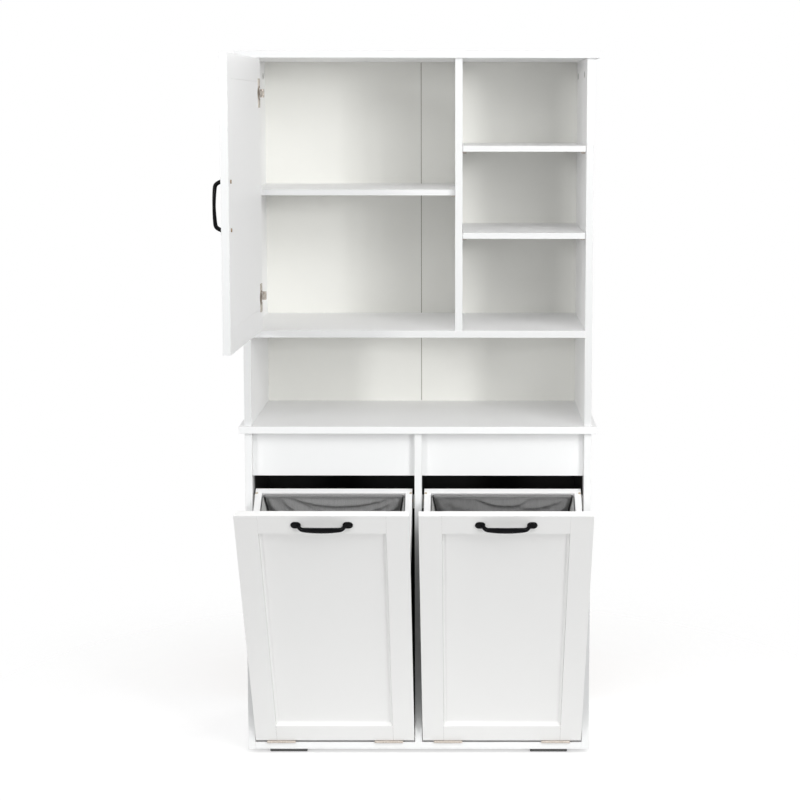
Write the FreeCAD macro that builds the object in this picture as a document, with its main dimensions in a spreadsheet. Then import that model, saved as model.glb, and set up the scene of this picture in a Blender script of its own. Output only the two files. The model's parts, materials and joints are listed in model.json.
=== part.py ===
"""Laundry hamper cabinet: a two-bin tilt-out base, a countertop and a shelved hutch with one inset door.

Frame: +X to the right, +Y to the back, +Z up, millimetres.
The origin is on the floor, under the middle of the carcass.
The door is stored open and both hampers are stored tilted out to their stops.
"""
import FreeCAD, Part
import math
import os

DRIVING_SIZES = [
    # carcass
    ("carcass_width", 776.0),
    ("board", 16.0),
    ("side_depth", 378.0),
    ("back_thickness", 5.0),
    ("base_side_height", 730.0),
    ("hutch_side_height", 815.0),
    ("top_side_overhang", 12.0),
    ("top_front_overhang", 9.0),
    ("back_seam", 1.0),
    # feet
    ("foot_height", 10.0),
    ("foot_width", 85.0),
    ("foot_depth", 40.0),
    ("foot_setback", 10.0),
    ("foot_from_side", 48.5),
    # hutch shelves
    ("niche_height", 199.0),
    ("divider_x", 91.0),
    ("shelf_board", 13.0),
    ("shelf_side_gap", 0.5),
    ("left_shelf_rise", 299.0),
    ("right_lower_shelf_rise", 204.0),
    ("right_upper_shelf_rise", 396.0),
    ("left_shelf_setback", 20.0),
    ("right_shelf_setback", 4.0),
    ("pin_radius", 2.5),
    ("pin_reach", 9.0),
    ("pin_seat", 8.0),
    ("pin_from_edge", 45.0),
    ("pin_clearance", 0.1),
    # aprons over the hampers
    ("apron_height", 100.0),
    ("apron_clearance", 1.8),
    # framed fronts
    ("stile_width", 48.0),
    ("rail_height", 50.0),
    ("cove_depth", 10.0),
    ("cove_radius", 9.0),
    ("panel_gap", 0.3),
    # door
    ("door_thickness", 16.0),
    ("door_gap", 2.0),
    ("door_open_angle", 92.1),
    ("door_pivot_inset", 4.65),
    ("door_pivot_forward", 7.4),
    # concealed door hinges
    ("hinge_low_rise", 76.0),
    ("hinge_high_drop", 77.0),
    ("cup_from_edge", 22.0),
    ("cup_radius", 17.5),
    ("cup_depth", 11.5),
    ("cup_wall", 1.0),
    ("cup_clearance", 0.1),
    ("ear_span", 63.0),
    ("ear_width", 24.0),
    ("ear_thickness", 1.5),
    ("link_rise", 1.6),
    ("link_thickness", 2.4),
    ("link_length", 38.0),
    ("link_height", 9.0),
    ("eye_radius", 3.3),
    ("eye_gap", 0.4),
    ("arm_height", 18.0),
    ("arm_thickness", 8.0),
    ("arm_length", 58.0),
    ("plate_height", 50.0),
    ("plate_length", 40.0),
    ("plate_thickness", 2.0),
    ("hinge_pin_radius", 1.5),
    ("running_clearance", 0.06),
    # bow handles
    ("handle_span", 96.0),
    ("handle_reach", 17.2),
    ("handle_leg_lean", 9.0),
    ("handle_bow_rise", 2.5),
    ("handle_bar_half_height", 4.7),
    ("handle_bar_half_thickness", 2.6),
    ("handle_corner_radius", 9.0),
    ("handle_bow_radius", 180.0),
    ("handle_foot_radius", 8.5),
    ("handle_foot_offset", 3.5),
    ("handle_foot_shift", 4.35),
    ("handle_foot_thickness", 3.0),
    ("screw_radius", 2.0),
    ("screw_clearance", 0.2),
    ("screw_head_radius", 4.0),
    ("screw_head_height", 2.2),
    ("door_handle_drop", 2.4),
    # tilt-out hampers
    ("front_thickness", 15.0),
    ("front_side_gap", 1.5),
    ("front_top_gap", 5.0),
    ("front_bottom_gap", 3.0),
    ("hinge_forward", 3.0),
    ("hinge_lift", 1.5),
    ("frame_board", 15.0),
    ("frame_side_gap", 5.5),
    ("frame_rear_gap", 53.0),
    ("frame_drop", 226.0),
    ("frame_rail_height", 60.0),
    ("bag_wall", 2.0),
    ("bag_gap", 0.3),
    ("bag_rim_drop", 3.0),
    ("bag_bottom", 60.0),
    # butt hinges under the hamper fronts
    ("butt_length", 65.0),
    ("butt_from_edge", 58.0),
    ("butt_leaf", 1.2),
    ("butt_leaf_depth", 16.0),
    ("knuckle_radius", 2.8),
    ("knuckle_gap", 0.4),
    ("butt_pin_radius", 1.2),
    # tilt stops
    ("stop_pin_radius", 3.0),
    ("stop_pin_from_back", 7.5),
    ("stop_pin_drop", 30.0),
    ("stop_pin_seat", 7.0),
    ("stop_wall_gap", 1.0),
    ("stop_rail_gap", 1.5),
    ("stop_block_height", 30.0),
    ("stop_block_depth", 11.65),
    ("stop_block_clearance", 2.0),
    ("stop_gap", 0.3),
]

# how far a point may lie off a plane, in mm, and still be taken as on it
FLAT = 1e-6

doc = FreeCAD.newDocument("laundry_hamper_cabinet")
sheet = doc.addObject("Spreadsheet::Sheet", "sizes")
for row, (alias, value) in enumerate(DRIVING_SIZES, start=1):
    sheet.set(f"A{row}", alias)
    sheet.set(f"B{row}", str(value))
    sheet.setAlias(f"B{row}", alias)
doc.recompute()

# Names that expressions may use in braces: every driving size, and the places worked out from them.
names = {alias: f"sizes.{alias}" for alias, _ in DRIVING_SIZES}


def expression(text):
    """Turn braced names into references to the sheet."""
    return text.format_map(names)


def derive(name, text):
    """Name a place or a size that follows from the driving sizes."""
    names[name] = f"({expression(text)})"


def number(name):
    """The present value of a driving size."""
    return float(sheet.get(name))


# carcass places
derive("front_y", "-({side_depth} + {back_thickness}) / 2")
derive("back_y", "{front_y} + {side_depth}")
derive("outer_x", "{carcass_width} / 2")
derive("inner_x", "{outer_x} - {board}")
derive("base_top", "{foot_height} + {base_side_height}")
derive("hutch_bottom", "{base_top} + {board}")
derive("hutch_top", "{hutch_bottom} + {hutch_side_height}")
derive("floor_board_top", "{foot_height} + {board}")
derive("fixed_shelf_z", "{hutch_bottom} + {niche_height}")
derive("fixed_shelf_top", "{fixed_shelf_z} + {board}")
derive("divider_left", "{divider_x} - {board} / 2")
derive("divider_right", "{divider_x} + {board} / 2")
derive("apron_y", "{front_y} + {front_thickness} + {screw_head_height} + {apron_clearance}")
derive("top_width", "{carcass_width} + 2 * {top_side_overhang}")
derive("top_depth", "{top_front_overhang} + {side_depth} + {back_thickness}")
# door places, in a frame whose origin is the door's own pivot
derive("door_pivot_x", "-{inner_x} + {door_pivot_inset}")
derive("door_pivot_y", "{front_y} - {door_pivot_forward}")
derive("door_edge", "{door_gap} - {door_pivot_inset}")
derive("door_width", "{divider_left} + {inner_x} - 2 * {door_gap}")
derive("door_low", "{fixed_shelf_top} + {door_gap}")
derive("door_high", "{hutch_top} - {door_gap}")
derive("door_height", "{door_high} - {door_low}")
derive("door_face", "{door_pivot_forward}")
derive("door_inside", "{door_pivot_forward} + {door_thickness}")
derive("hinge_low_z", "{fixed_shelf_top} + {hinge_low_rise}")
derive("hinge_high_z", "{hutch_top} - {hinge_high_drop}")
derive("door_handle_z", "({door_low} + {door_high}) / 2 - {door_handle_drop}")
# the links swing about an axis that keeps them beside the door at both ends of its travel
derive("link_out", "{door_inside} + {link_rise}")
derive("link_along", "{link_out} * tan({door_open_angle} / 2)")
derive("link_x", "{door_pivot_x} + {link_along}")
derive("link_y", "{door_pivot_y} + {link_out}")
# hamper places, in a frame whose origin is on the hamper's hinge line
derive("bay_width", "{inner_x} - {board} / 2")
derive("bay_x", "{board} / 2 + {bay_width} / 2")
derive("hinge_y", "{front_y} - {hinge_forward}")
derive("hinge_z", "{floor_board_top} + {hinge_lift}")
derive("front_low", "{front_bottom_gap} - {hinge_lift}")
derive("front_width", "{bay_width} - 2 * {front_side_gap}")
derive("front_height", "{base_side_height} - {board} - {front_bottom_gap} - {front_top_gap}")
derive("front_face", "{hinge_forward}")
derive("front_back", "{hinge_forward} + {front_thickness}")
derive("frame_half", "{bay_width} / 2 - {frame_side_gap}")
derive("frame_inner", "{frame_half} - {frame_board}")
derive("frame_high", "{front_low} + {front_height} - {frame_drop}")
derive("frame_low", "{frame_high} - {frame_rail_height}")
derive("frame_depth", "{side_depth} - {front_thickness} - {frame_rear_gap}")
derive("frame_back", "{front_back} + {frame_depth}")
derive("bag_half", "{frame_inner} - {bag_gap}")
derive("bag_depth", "{frame_depth} - {frame_board} - 2 * {bag_gap}")
derive("bag_height", "{front_height} - {frame_drop} - {bag_rim_drop} - {bag_bottom}")
derive("stop_pin_reach", "{frame_side_gap} - {stop_wall_gap}")
derive("stop_block_thickness", "{frame_side_gap} - {stop_rail_gap}")
derive("stop_pin_y", "{frame_back} - {stop_pin_from_back}")
derive("stop_pin_z", "{frame_high} - {stop_pin_drop}")
# a hamper tilts out until its stop pins meet the stop blocks, which stand behind the closed front
derive("stop_block_y", "{front_back} + {stop_block_clearance}")
derive("stop_y", "{stop_block_y} + {stop_block_depth} + {stop_gap} + {stop_pin_radius}")
derive("pin_closed_angle", "atan2({stop_pin_z}; {stop_pin_y})")
derive("hamper_tilt", "acos({stop_y} / hypot({stop_pin_y}; {stop_pin_z})) - {pin_closed_angle}")

DOOR_CARRIER = expression(
    "placement(vector({door_pivot_x}; {door_pivot_y}; 0); rotation(vector(0; 0; 1); -{door_open_angle})) * "
)
LINK_CARRIER = expression(
    "placement(vector({link_x}; {link_y}; 0); rotation(vector(0; 0; 1); -{door_open_angle})) * "
)


def hamper_carrier(side):
    """The tilted frame of one hamper; side is -1 on the left and 1 on the right."""
    return expression(
        f"placement(vector({side} * {{bay_x}}; {{hinge_y}}; {{hinge_z}}); "
        "rotation(vector(1; 0; 0); {hamper_tilt})) * "
    )


NO_TURN = "rotation(vector(0; 0; 1); 0)"
ALONG = {
    "x": "rotation(vector(0; 1; 0); 90)",
    "y": "rotation(vector(1; 0; 0); -90)",
    "z": NO_TURN,
}


def place(item, low, carrier="", turn=NO_TURN):
    """Bind an object's placement to a corner or centre, in the carrier's frame."""
    x, y, z = (expression(text) for text in low)
    item.setExpression("Placement", f"{carrier}placement(vector({x}; {y}; {z}); {turn})")


def block(label, low, size, carrier=""):
    """A rectangular piece from its low corner and its size along X, Y and Z."""
    item = doc.addObject("Part::Box", label)
    item.Label = label
    for side, text in zip(("Length", "Width", "Height"), size):
        item.setExpression(side, expression(text))
    place(item, low, carrier)
    return item


def rod(label, centre, axis, radius, length, carrier=""):
    """A round piece from the centre of its first end, along an axis."""
    item = doc.addObject("Part::Cylinder", label)
    item.Label = label
    item.setExpression("Radius", expression(radius))
    item.setExpression("Height", expression(length))
    place(item, centre, carrier, ALONG[axis])
    return item


def compound(label, pieces):
    """Several solids in one object."""
    item = doc.addObject("Part::Compound", label)
    item.Label = label
    item.Links = pieces
    return item


def join(label, pieces):
    """One solid from pieces that meet."""
    item = doc.addObject("Part::MultiFuse", label)
    item.Label = label
    item.Shapes = pieces
    return item


def cut(label, base, tools):
    """A piece with holes or pockets."""
    item = doc.addObject("Part::Cut", label)
    item.Label = label
    item.Base = base
    item.Tool = tools[0] if len(tools) == 1 else compound(f"{label}_cuts", tools)
    return item


sub_parts = []


def keep(item):
    """List a finished piece for export."""
    sub_parts.append(item)
    return item


# Base carcass
BASE_SIDE = ("{board}", "{side_depth}", "{base_side_height}")
keep(block("base_left_side", ("-{outer_x}", "{front_y}", "{foot_height}"), BASE_SIDE))
keep(block("base_right_side", ("{inner_x}", "{front_y}", "{foot_height}"), BASE_SIDE))
WIDE_BOARD = ("2 * {inner_x}", "{side_depth}", "{board}")
keep(block("base_floor_board", ("-{inner_x}", "{front_y}", "{foot_height}"), WIDE_BOARD))
keep(
    block(
        "base_centre_divider",
        ("-{board} / 2", "{front_y}", "{floor_board_top}"),
        ("{board}", "{side_depth}", "{base_side_height} - {board}"),
    )
)
APRON = ("{bay_width}", "{board}", "{apron_height}")
APRON_LOW = ("{apron_y}", "{base_top} - {apron_height}")
keep(block("base_left_apron", ("-{inner_x}", *APRON_LOW), APRON))
keep(block("base_right_apron", ("{board} / 2", *APRON_LOW), APRON))
keep(
    block(
        "base_back_panel",
        ("-{outer_x}", "{back_y}", "{foot_height}"),
        ("{carcass_width}", "{back_thickness}", "{base_side_height}"),
    )
)
TOP = ("{top_width}", "{top_depth}", "{board}")
TOP_LOW = ("-{top_width} / 2", "{front_y} - {top_front_overhang}")
keep(block("countertop", (*TOP_LOW, "{base_top}"), TOP))

# Feet, one near each corner
FOOT = ("{foot_width}", "{foot_depth}", "{foot_height}")
FOOT_X = ("-{outer_x} + {foot_from_side}", "{outer_x} - {foot_from_side} - {foot_width}")
FOOT_Y = ("{front_y} + {foot_setback}", "{back_y} - {foot_setback} - {foot_depth}")
feet = [block(f"foot_{i}_{j}", (x, y, "0"), FOOT) for i, x in enumerate(FOOT_X) for j, y in enumerate(FOOT_Y)]
keep(compound("feet", feet))

# Hutch carcass, whose sides and divider have blind holes for the shelf pins
shelf_pins = []
pin_holes = {"hutch_left_side": [], "hutch_right_side": [], "hutch_divider": []}


def loose_shelf(label, left, right, rise, setback):
    """A shelf between two walls on four pins, and the holes that the pins sit in.

    left and right are each a wall's node and the place of its face.
    """
    (left_wall, left_x), (right_wall, right_x) = left, right
    shelf_z = f"{{fixed_shelf_top}} + {rise}"
    low = (f"{left_x} + {{shelf_side_gap}}", f"{{front_y}} + {setback}", shelf_z)
    width = f"{right_x} - ({left_x}) - 2 * {{shelf_side_gap}}"
    keep(block(label, low, (width, f"{{side_depth}} - {setback}", "{shelf_board}")))
    pin_z = f"{shelf_z} - {{pin_radius}}"
    pin_rows = (f"{{front_y}} + {setback} + {{pin_from_edge}}", "{back_y} - {pin_from_edge}")
    seats = (
        (left_wall, f"{left_x} - {{pin_seat}}", f"{left_x} - {{pin_seat}} - {{pin_clearance}}"),
        (right_wall, f"{right_x} - {{pin_reach}}", right_x),
    )
    for wall, pin_x, hole_x in seats:
        for row, pin_y in enumerate(pin_rows):
            name = f"{label}_{wall}_{row}"
            pin_length = "{pin_seat} + {pin_reach}"
            hole_length = "{pin_seat} + {pin_clearance}"
            hole_radius = "{pin_radius} + {pin_clearance}"
            shelf_pins.append(rod(f"{name}_pin", (pin_x, pin_y, pin_z), "x", "{pin_radius}", pin_length))
            pin_holes[wall].append(rod(f"{name}_hole", (hole_x, pin_y, pin_z), "x", hole_radius, hole_length))


left_bay = (("hutch_left_side", "-{inner_x}"), ("hutch_divider", "{divider_left}"))
right_bay = (("hutch_divider", "{divider_right}"), ("hutch_right_side", "{inner_x}"))
loose_shelf("hutch_left_shelf", *left_bay, "{left_shelf_rise}", "{left_shelf_setback}")
loose_shelf("hutch_right_lower_shelf", *right_bay, "{right_lower_shelf_rise}", "{right_shelf_setback}")
loose_shelf("hutch_right_upper_shelf", *right_bay, "{right_upper_shelf_rise}", "{right_shelf_setback}")
keep(compound("shelf_pins", shelf_pins))

HUTCH_SIDE = ("{board}", "{side_depth}", "{hutch_side_height}")
left_blank = block("hutch_left_side_blank", ("-{outer_x}", "{front_y}", "{hutch_bottom}"), HUTCH_SIDE)
right_blank = block("hutch_right_side_blank", ("{inner_x}", "{front_y}", "{hutch_bottom}"), HUTCH_SIDE)
divider_blank = block(
    "hutch_divider_blank",
    ("{divider_left}", "{front_y}", "{fixed_shelf_top}"),
    ("{board}", "{side_depth}", "{hutch_top} - {fixed_shelf_top}"),
)
keep(cut("hutch_left_side", left_blank, pin_holes["hutch_left_side"]))
keep(cut("hutch_right_side", right_blank, pin_holes["hutch_right_side"]))
keep(cut("hutch_divider", divider_blank, pin_holes["hutch_divider"]))
keep(block("hutch_fixed_shelf", ("-{inner_x}", "{front_y}", "{fixed_shelf_z}"), WIDE_BOARD))
keep(block("hutch_top_board", (*TOP_LOW, "{hutch_top}"), TOP))
HUTCH_BACK = ("{outer_x} - {back_seam} / 2", "{back_thickness}", "{hutch_side_height}")
keep(block("hutch_left_back_panel", ("-{outer_x}", "{back_y}", "{hutch_bottom}"), HUTCH_BACK))
keep(block("hutch_right_back_panel", ("{back_seam} / 2", "{back_y}", "{hutch_bottom}"), HUTCH_BACK))


# Framed fronts
def coved_panel(label, low, size, thickness, carrier):
    """The sunk middle of a framed front, with a cove that runs up to the frame on all sides."""
    x, y, z = low
    width, height = size
    blank = block(
        f"{label}_blank",
        (f"{x} + {{panel_gap}}", y, f"{z} + {{panel_gap}}"),
        (f"{width} - 2 * {{panel_gap}}", thickness, f"{height} - 2 * {{panel_gap}}"),
        carrier,
    )
    # the cutter stands proud of the face by as much as it sinks in
    pan = block(f"{label}_pan", ("0", "0", "0"), (width, "2 * {cove_depth}", height))
    doc.recompute()
    floor_edges = [
        index
        for index, edge in enumerate(pan.Shape.Edges, start=1)
        if all(abs(corner.Y - pan.Width.Value) < FLAT for corner in edge.Vertexes)
    ]
    cove = doc.addObject("Part::Fillet", f"{label}_cove")
    cove.Base = pan
    cove.Edges = [(index, number("cove_radius"), number("cove_radius")) for index in floor_edges]
    place(cove, (x, f"{y} - {{cove_depth}}", z), carrier)
    return cut(label, blank, [cove])


def framed_front(prefix, low, size, thickness, carrier, cuts):
    """Two stiles, two rails and a sunk panel; cuts gives a member's own holes and pockets."""
    x, y, z = low
    width, height = size
    clear_width = f"({width} - 2 * {{stile_width}})"
    rail_x = f"{x} + {{stile_width}}"
    stile = ("{stile_width}", thickness, height)
    rail = (clear_width, thickness, "{rail_height}")
    members = {
        "left_stile": ((x, y, z), stile),
        "right_stile": ((f"{x} + {width} - {{stile_width}}", y, z), stile),
        "bottom_rail": ((rail_x, y, z), rail),
        "top_rail": ((rail_x, y, f"{z} + {height} - {{rail_height}}"), rail),
    }
    for name, (corner, box) in members.items():
        label = f"{prefix}_{name}"
        if name in cuts:
            keep(cut(label, block(f"{label}_blank", corner, box, carrier), cuts[name]))
        else:
            keep(block(label, corner, box, carrier))
    panel_size = (clear_width, f"({height} - 2 * {{rail_height}})")
    panel_low = (rail_x, y, f"{z} + {{rail_height}}")
    keep(coved_panel(f"{prefix}_panel", panel_low, panel_size, thickness, carrier))


def handle_spine():
    """The centre line of a bow handle, from foot to foot, reaching out along -Y."""
    half = number("handle_span") / 2
    reach = number("handle_reach")
    shoulder_x = half - number("handle_leg_lean")
    shoulder_y = number("handle_bow_rise") - reach
    corners = [
        FreeCAD.Vector(-half, 0, 0),
        FreeCAD.Vector(-shoulder_x, shoulder_y, 0),
        FreeCAD.Vector(0, -reach, 0),
        FreeCAD.Vector(shoulder_x, shoulder_y, 0),
        FreeCAD.Vector(half, 0, 0),
    ]
    radii = [number("handle_corner_radius"), number("handle_bow_radius"), number("handle_corner_radius")]
    edges = []
    start = corners[0]
    for before, corner, after, radius in zip(corners, corners[1:], corners[2:], radii):
        incoming = (before - corner).normalize()
        outgoing = (after - corner).normalize()
        half_angle = incoming.getAngle(outgoing) / 2
        first = corner + incoming * (radius / math.tan(half_angle))
        last = corner + outgoing * (radius / math.tan(half_angle))
        centre = corner + (incoming + outgoing).normalize() * (radius / math.sin(half_angle))
        middle = centre + (corner - centre).normalize() * radius
        edges.append(Part.LineSegment(start, first).toShape())
        edges.append(Part.Arc(first, middle, last).toShape())
        start = last
    edges.append(Part.LineSegment(start, corners[-1]).toShape())
    return Part.Wire(edges)


def handle_foot(side):
    """A rounded foot on the plane Y = 0, from the screw outwards."""
    out = FreeCAD.Vector(0, -1, 0)
    radius = number("handle_foot_radius")
    thickness = number("handle_foot_thickness")
    near_x = side * (number("handle_span") / 2 + number("handle_foot_offset"))
    far_x = near_x + side * number("handle_foot_shift")
    near = Part.makeCylinder(radius, thickness, FreeCAD.Vector(near_x, 0, 0), out)
    far = Part.makeCylinder(radius, thickness, FreeCAD.Vector(far_x, 0, 0), out)
    corner = FreeCAD.Vector(min(near_x, far_x), -thickness, -radius)
    return near.fuse([far, Part.makeBox(abs(far_x - near_x), thickness, 2 * radius, corner)])


def handle_shape():
    """A bow handle along X, with its feet on the plane Y = 0."""
    spine = handle_spine()
    first_edge = spine.Edges[0]
    start = first_edge.Vertexes[0].Point
    direction = first_edge.tangentAt(first_edge.FirstParameter)
    top = start + FreeCAD.Vector(0, 0, number("handle_bar_half_height"))
    across = direction.cross(FreeCAD.Vector(0, 0, 1)).normalize()
    side = start + across * number("handle_bar_half_thickness")
    section = Part.Ellipse(top, side, start)
    bar = spine.makePipeShell([Part.Wire([section.toShape()])], True, False)
    span = 2 * number("handle_span")
    behind_face = Part.makeBox(span, span, span, FreeCAD.Vector(-span / 2, 0, -span / 2))
    return bar.fuse([handle_foot(-1), handle_foot(1)]).cut(behind_face).removeSplitter()


HANDLE_SHAPE = handle_shape()


def handle(label, centre, carrier, turn=NO_TURN):
    """A bow handle on the face of a front."""
    item = doc.addObject("Part::Feature", label)
    item.Label = label
    item.Shape = HANDLE_SHAPE
    place(item, centre, carrier, turn)
    return keep(item)


def handle_holes(prefix, spots, face, thickness, carrier):
    """The two clearance holes for a handle's screws."""
    radius = "{screw_radius} + {screw_clearance}"
    return [
        rod(f"{prefix}_hole_{i}", (x, face, z), "y", radius, thickness, carrier)
        for i, (x, z) in enumerate(spots)
    ]


def handle_screws(prefix, spots, face, thickness, carrier):
    """The two screws of a handle, put in from behind, with their heads on the inside face."""
    screws = []
    for i, (x, z) in enumerate(spots):
        shank = rod(f"{prefix}_screw_shank_{i}", (x, face, z), "y", "{screw_radius}", thickness, carrier)
        head_y = f"{face} + {thickness}"
        head_size = ("{screw_head_radius}", "{screw_head_height}")
        head = rod(f"{prefix}_screw_head_{i}", (x, head_y, z), "y", *head_size, carrier)
        screws.append(join(f"{prefix}_screw_{i}", [shank, head]))
    return keep(compound(f"{prefix}_handle_screws", screws))


# Door, inset in the hutch's left bay and hung on two concealed hinges
HINGE_LEVELS = ("{hinge_low_z}", "{hinge_high_z}")
CUP_X = "{door_edge} + {cup_from_edge}"
cup_pockets = [
    rod(
        f"cup_pocket_{i}",
        (CUP_X, "{door_inside} - {cup_depth} - {cup_clearance}", level),
        "y",
        "{cup_radius} + {cup_clearance}",
        "{cup_depth} + {cup_clearance}",
        DOOR_CARRIER,
    )
    for i, level in enumerate(HINGE_LEVELS)
]
DOOR_SCREW_X = "{door_edge} + {door_width} - {stile_width} / 2"
door_spots = [(DOOR_SCREW_X, f"{{door_handle_z}} + {end} * {{handle_span}} / 2") for end in (-1, 1)]
door_place = ("{door_face}", "{door_thickness}", DOOR_CARRIER)
framed_front(
    "door",
    ("{door_edge}", "{door_face}", "{door_low}"),
    ("{door_width}", "{door_height}"),
    "{door_thickness}",
    DOOR_CARRIER,
    {"left_stile": cup_pockets, "right_stile": handle_holes("door", door_spots, *door_place)},
)
handle("door_handle", (DOOR_SCREW_X, "{door_face}", "{door_handle_z}"), DOOR_CARRIER, ALONG["x"])
handle_screws("door", door_spots, *door_place)


def hinge_cup(index, level):
    """A round cup sunk in the door's stile, with two screw ears on the door's inside face."""
    floor_y = "{door_inside} - {cup_depth}"
    cup_size = ("{cup_radius}", "{cup_depth}")
    cup = rod(f"hinge_cup_body_{index}", (CUP_X, floor_y, level), "y", *cup_size, DOOR_CARRIER)
    ears = block(
        f"hinge_cup_ears_{index}",
        (f"{CUP_X} - {{ear_width}} / 2", "{door_inside}", f"{level} - {{ear_span}} / 2"),
        ("{ear_width}", "{ear_thickness}", "{ear_span}"),
        DOOR_CARRIER,
    )
    bowl = rod(
        f"hinge_cup_bowl_{index}",
        (CUP_X, f"{floor_y} + {{cup_wall}}", level),
        "y",
        "{cup_radius} - {cup_wall}",
        "{cup_depth} + {ear_thickness}",
        DOOR_CARRIER,
    )
    return cut(f"hinge_cup_{index}", join(f"hinge_cup_whole_{index}", [cup, ears]), [bowl])


def hinge_link(index, level):
    """The swinging link: an eye on the arm's pin and a flat plate that lies along the door."""
    low_z = f"{level} - {{link_height}} / 2"
    bore_radius = "{hinge_pin_radius} + {running_clearance}"
    eye_size = ("{eye_radius}", "{link_height}")
    eye = rod(f"hinge_link_eye_{index}", ("0", "0", low_z), "z", *eye_size, LINK_CARRIER)
    plate = block(
        f"hinge_link_plate_{index}",
        ("0", "-{link_thickness} / 2", low_z),
        ("{link_length}", "{link_thickness}", "{link_height}"),
        LINK_CARRIER,
    )
    bore = rod(f"hinge_link_bore_{index}", ("0", "0", low_z), "z", bore_radius, "{link_height}", LINK_CARRIER)
    return cut(f"hinge_link_{index}", join(f"hinge_link_whole_{index}", [eye, plate]), [bore])


def hinge_arm(index, level):
    """The fixed half: a plate on the side, an arm across to the pin, and a fork that holds the pin."""
    low_z = f"{level} - {{arm_height}} / 2"
    arm_y = "{link_y} + {eye_radius} + {eye_gap}"
    arm_x = "-{inner_x} + {plate_thickness}"
    plate = block(
        f"hinge_plate_{index}",
        ("-{inner_x}", f"{arm_y} + {{arm_length}} - {{plate_length}}", f"{level} - {{plate_height}} / 2"),
        ("{plate_thickness}", "{plate_length}", "{plate_height}"),
    )
    along = block(
        f"hinge_arm_along_{index}", (arm_x, arm_y, low_z), ("{arm_thickness}", "{arm_length}", "{arm_height}")
    )
    across = block(
        f"hinge_arm_across_{index}",
        (arm_x, arm_y, low_z),
        ("{link_x} + {eye_radius} + {inner_x} - {plate_thickness}", "{arm_thickness}", "{arm_height}"),
    )
    pin_size = ("{hinge_pin_radius}", "{arm_height}")
    pin = rod(f"hinge_arm_pin_{index}", ("{link_x}", "{link_y}", low_z), "z", *pin_size)
    pieces = [plate, along, across, pin]
    lug_height = "({arm_height} - {link_height}) / 2 - {eye_gap}"
    for name, lug_z in (("low", low_z), ("high", f"{level} + {{link_height}} / 2 + {{eye_gap}}")):
        lug_centre = ("{link_x}", "{link_y}", lug_z)
        lug = rod(f"hinge_lug_{name}_{index}", lug_centre, "z", "{eye_radius}", lug_height)
        web = block(
            f"hinge_lug_web_{name}_{index}",
            ("{link_x} - {eye_radius}", "{link_y}", lug_z),
            ("2 * {eye_radius}", "{eye_radius} + {eye_gap}", lug_height),
        )
        pieces += [lug, web]
    return join(f"hinge_arm_{index}", pieces)


keep(compound("door_hinge_cups", [hinge_cup(i, level) for i, level in enumerate(HINGE_LEVELS)]))
keep(compound("door_hinge_links", [hinge_link(i, level) for i, level in enumerate(HINGE_LEVELS)]))
keep(compound("door_hinge_arms", [hinge_arm(i, level) for i, level in enumerate(HINGE_LEVELS)]))


# Tilt-out hampers
BUTT_OFFSET = "({front_width} / 2 - {butt_from_edge})"
BUTT_STARTS = (f"-{BUTT_OFFSET} - {{butt_length}} / 2", f"{BUTT_OFFSET} - {{butt_length}} / 2")
KNUCKLE_PITCH = "{butt_length} / 3"


def butt_leaf(label, start, flat, knuckles, carrier):
    """A leaf and its knuckles, bored for the hinge's pin; knuckles gives each one's start and length."""
    plate_size = ("{butt_length}", "{butt_leaf_depth}", "{butt_leaf}")
    pieces = [block(f"{label}_plate", (start, "{hinge_forward}", flat), plate_size, carrier)]
    for i, (knuckle_x, length) in enumerate(knuckles):
        strip_size = (length, "{hinge_forward}", "{butt_leaf}")
        barrel = rod(f"{label}_knuckle_{i}", (knuckle_x, "0", "0"), "x", "{knuckle_radius}", length, carrier)
        strip = block(f"{label}_strip_{i}", (knuckle_x, "0", flat), strip_size, carrier)
        pieces += [barrel, strip]
    bore_radius = "{butt_pin_radius} + {running_clearance}"
    bore = rod(f"{label}_bore", (start, "0", "0"), "x", bore_radius, "{butt_length}", carrier)
    return cut(label, join(f"{label}_whole", pieces), [bore])


fixed_leaves = []
butt_pins = []
stop_blocks = []


def butt_hinges(prefix, carrier, level):
    """Two hinges: moving leaves under the front, fixed leaves on the floor board, and their pins."""
    moving_leaves = []
    for i, start in enumerate(BUTT_STARTS):
        middle = (f"{start} + {KNUCKLE_PITCH} + {{knuckle_gap}}", f"{KNUCKLE_PITCH} - 2 * {{knuckle_gap}}")
        outer = ((start, KNUCKLE_PITCH), (f"{start} + 2 * {KNUCKLE_PITCH}", KNUCKLE_PITCH))
        moving_flat = "{front_low} - {butt_leaf}"
        moving_leaves.append(butt_leaf(f"{prefix}_moving_leaf_{i}", start, moving_flat, [middle], carrier))
        fixed_leaves.append(butt_leaf(f"{prefix}_fixed_leaf_{i}", start, "-{hinge_lift}", outer, level))
        pin_size = ("{butt_pin_radius}", "{butt_length}")
        butt_pins.append(rod(f"{prefix}_butt_pin_{i}", (start, "0", "0"), "x", *pin_size, level))
    keep(compound(f"{prefix}_hinge_leaves", moving_leaves))


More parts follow.
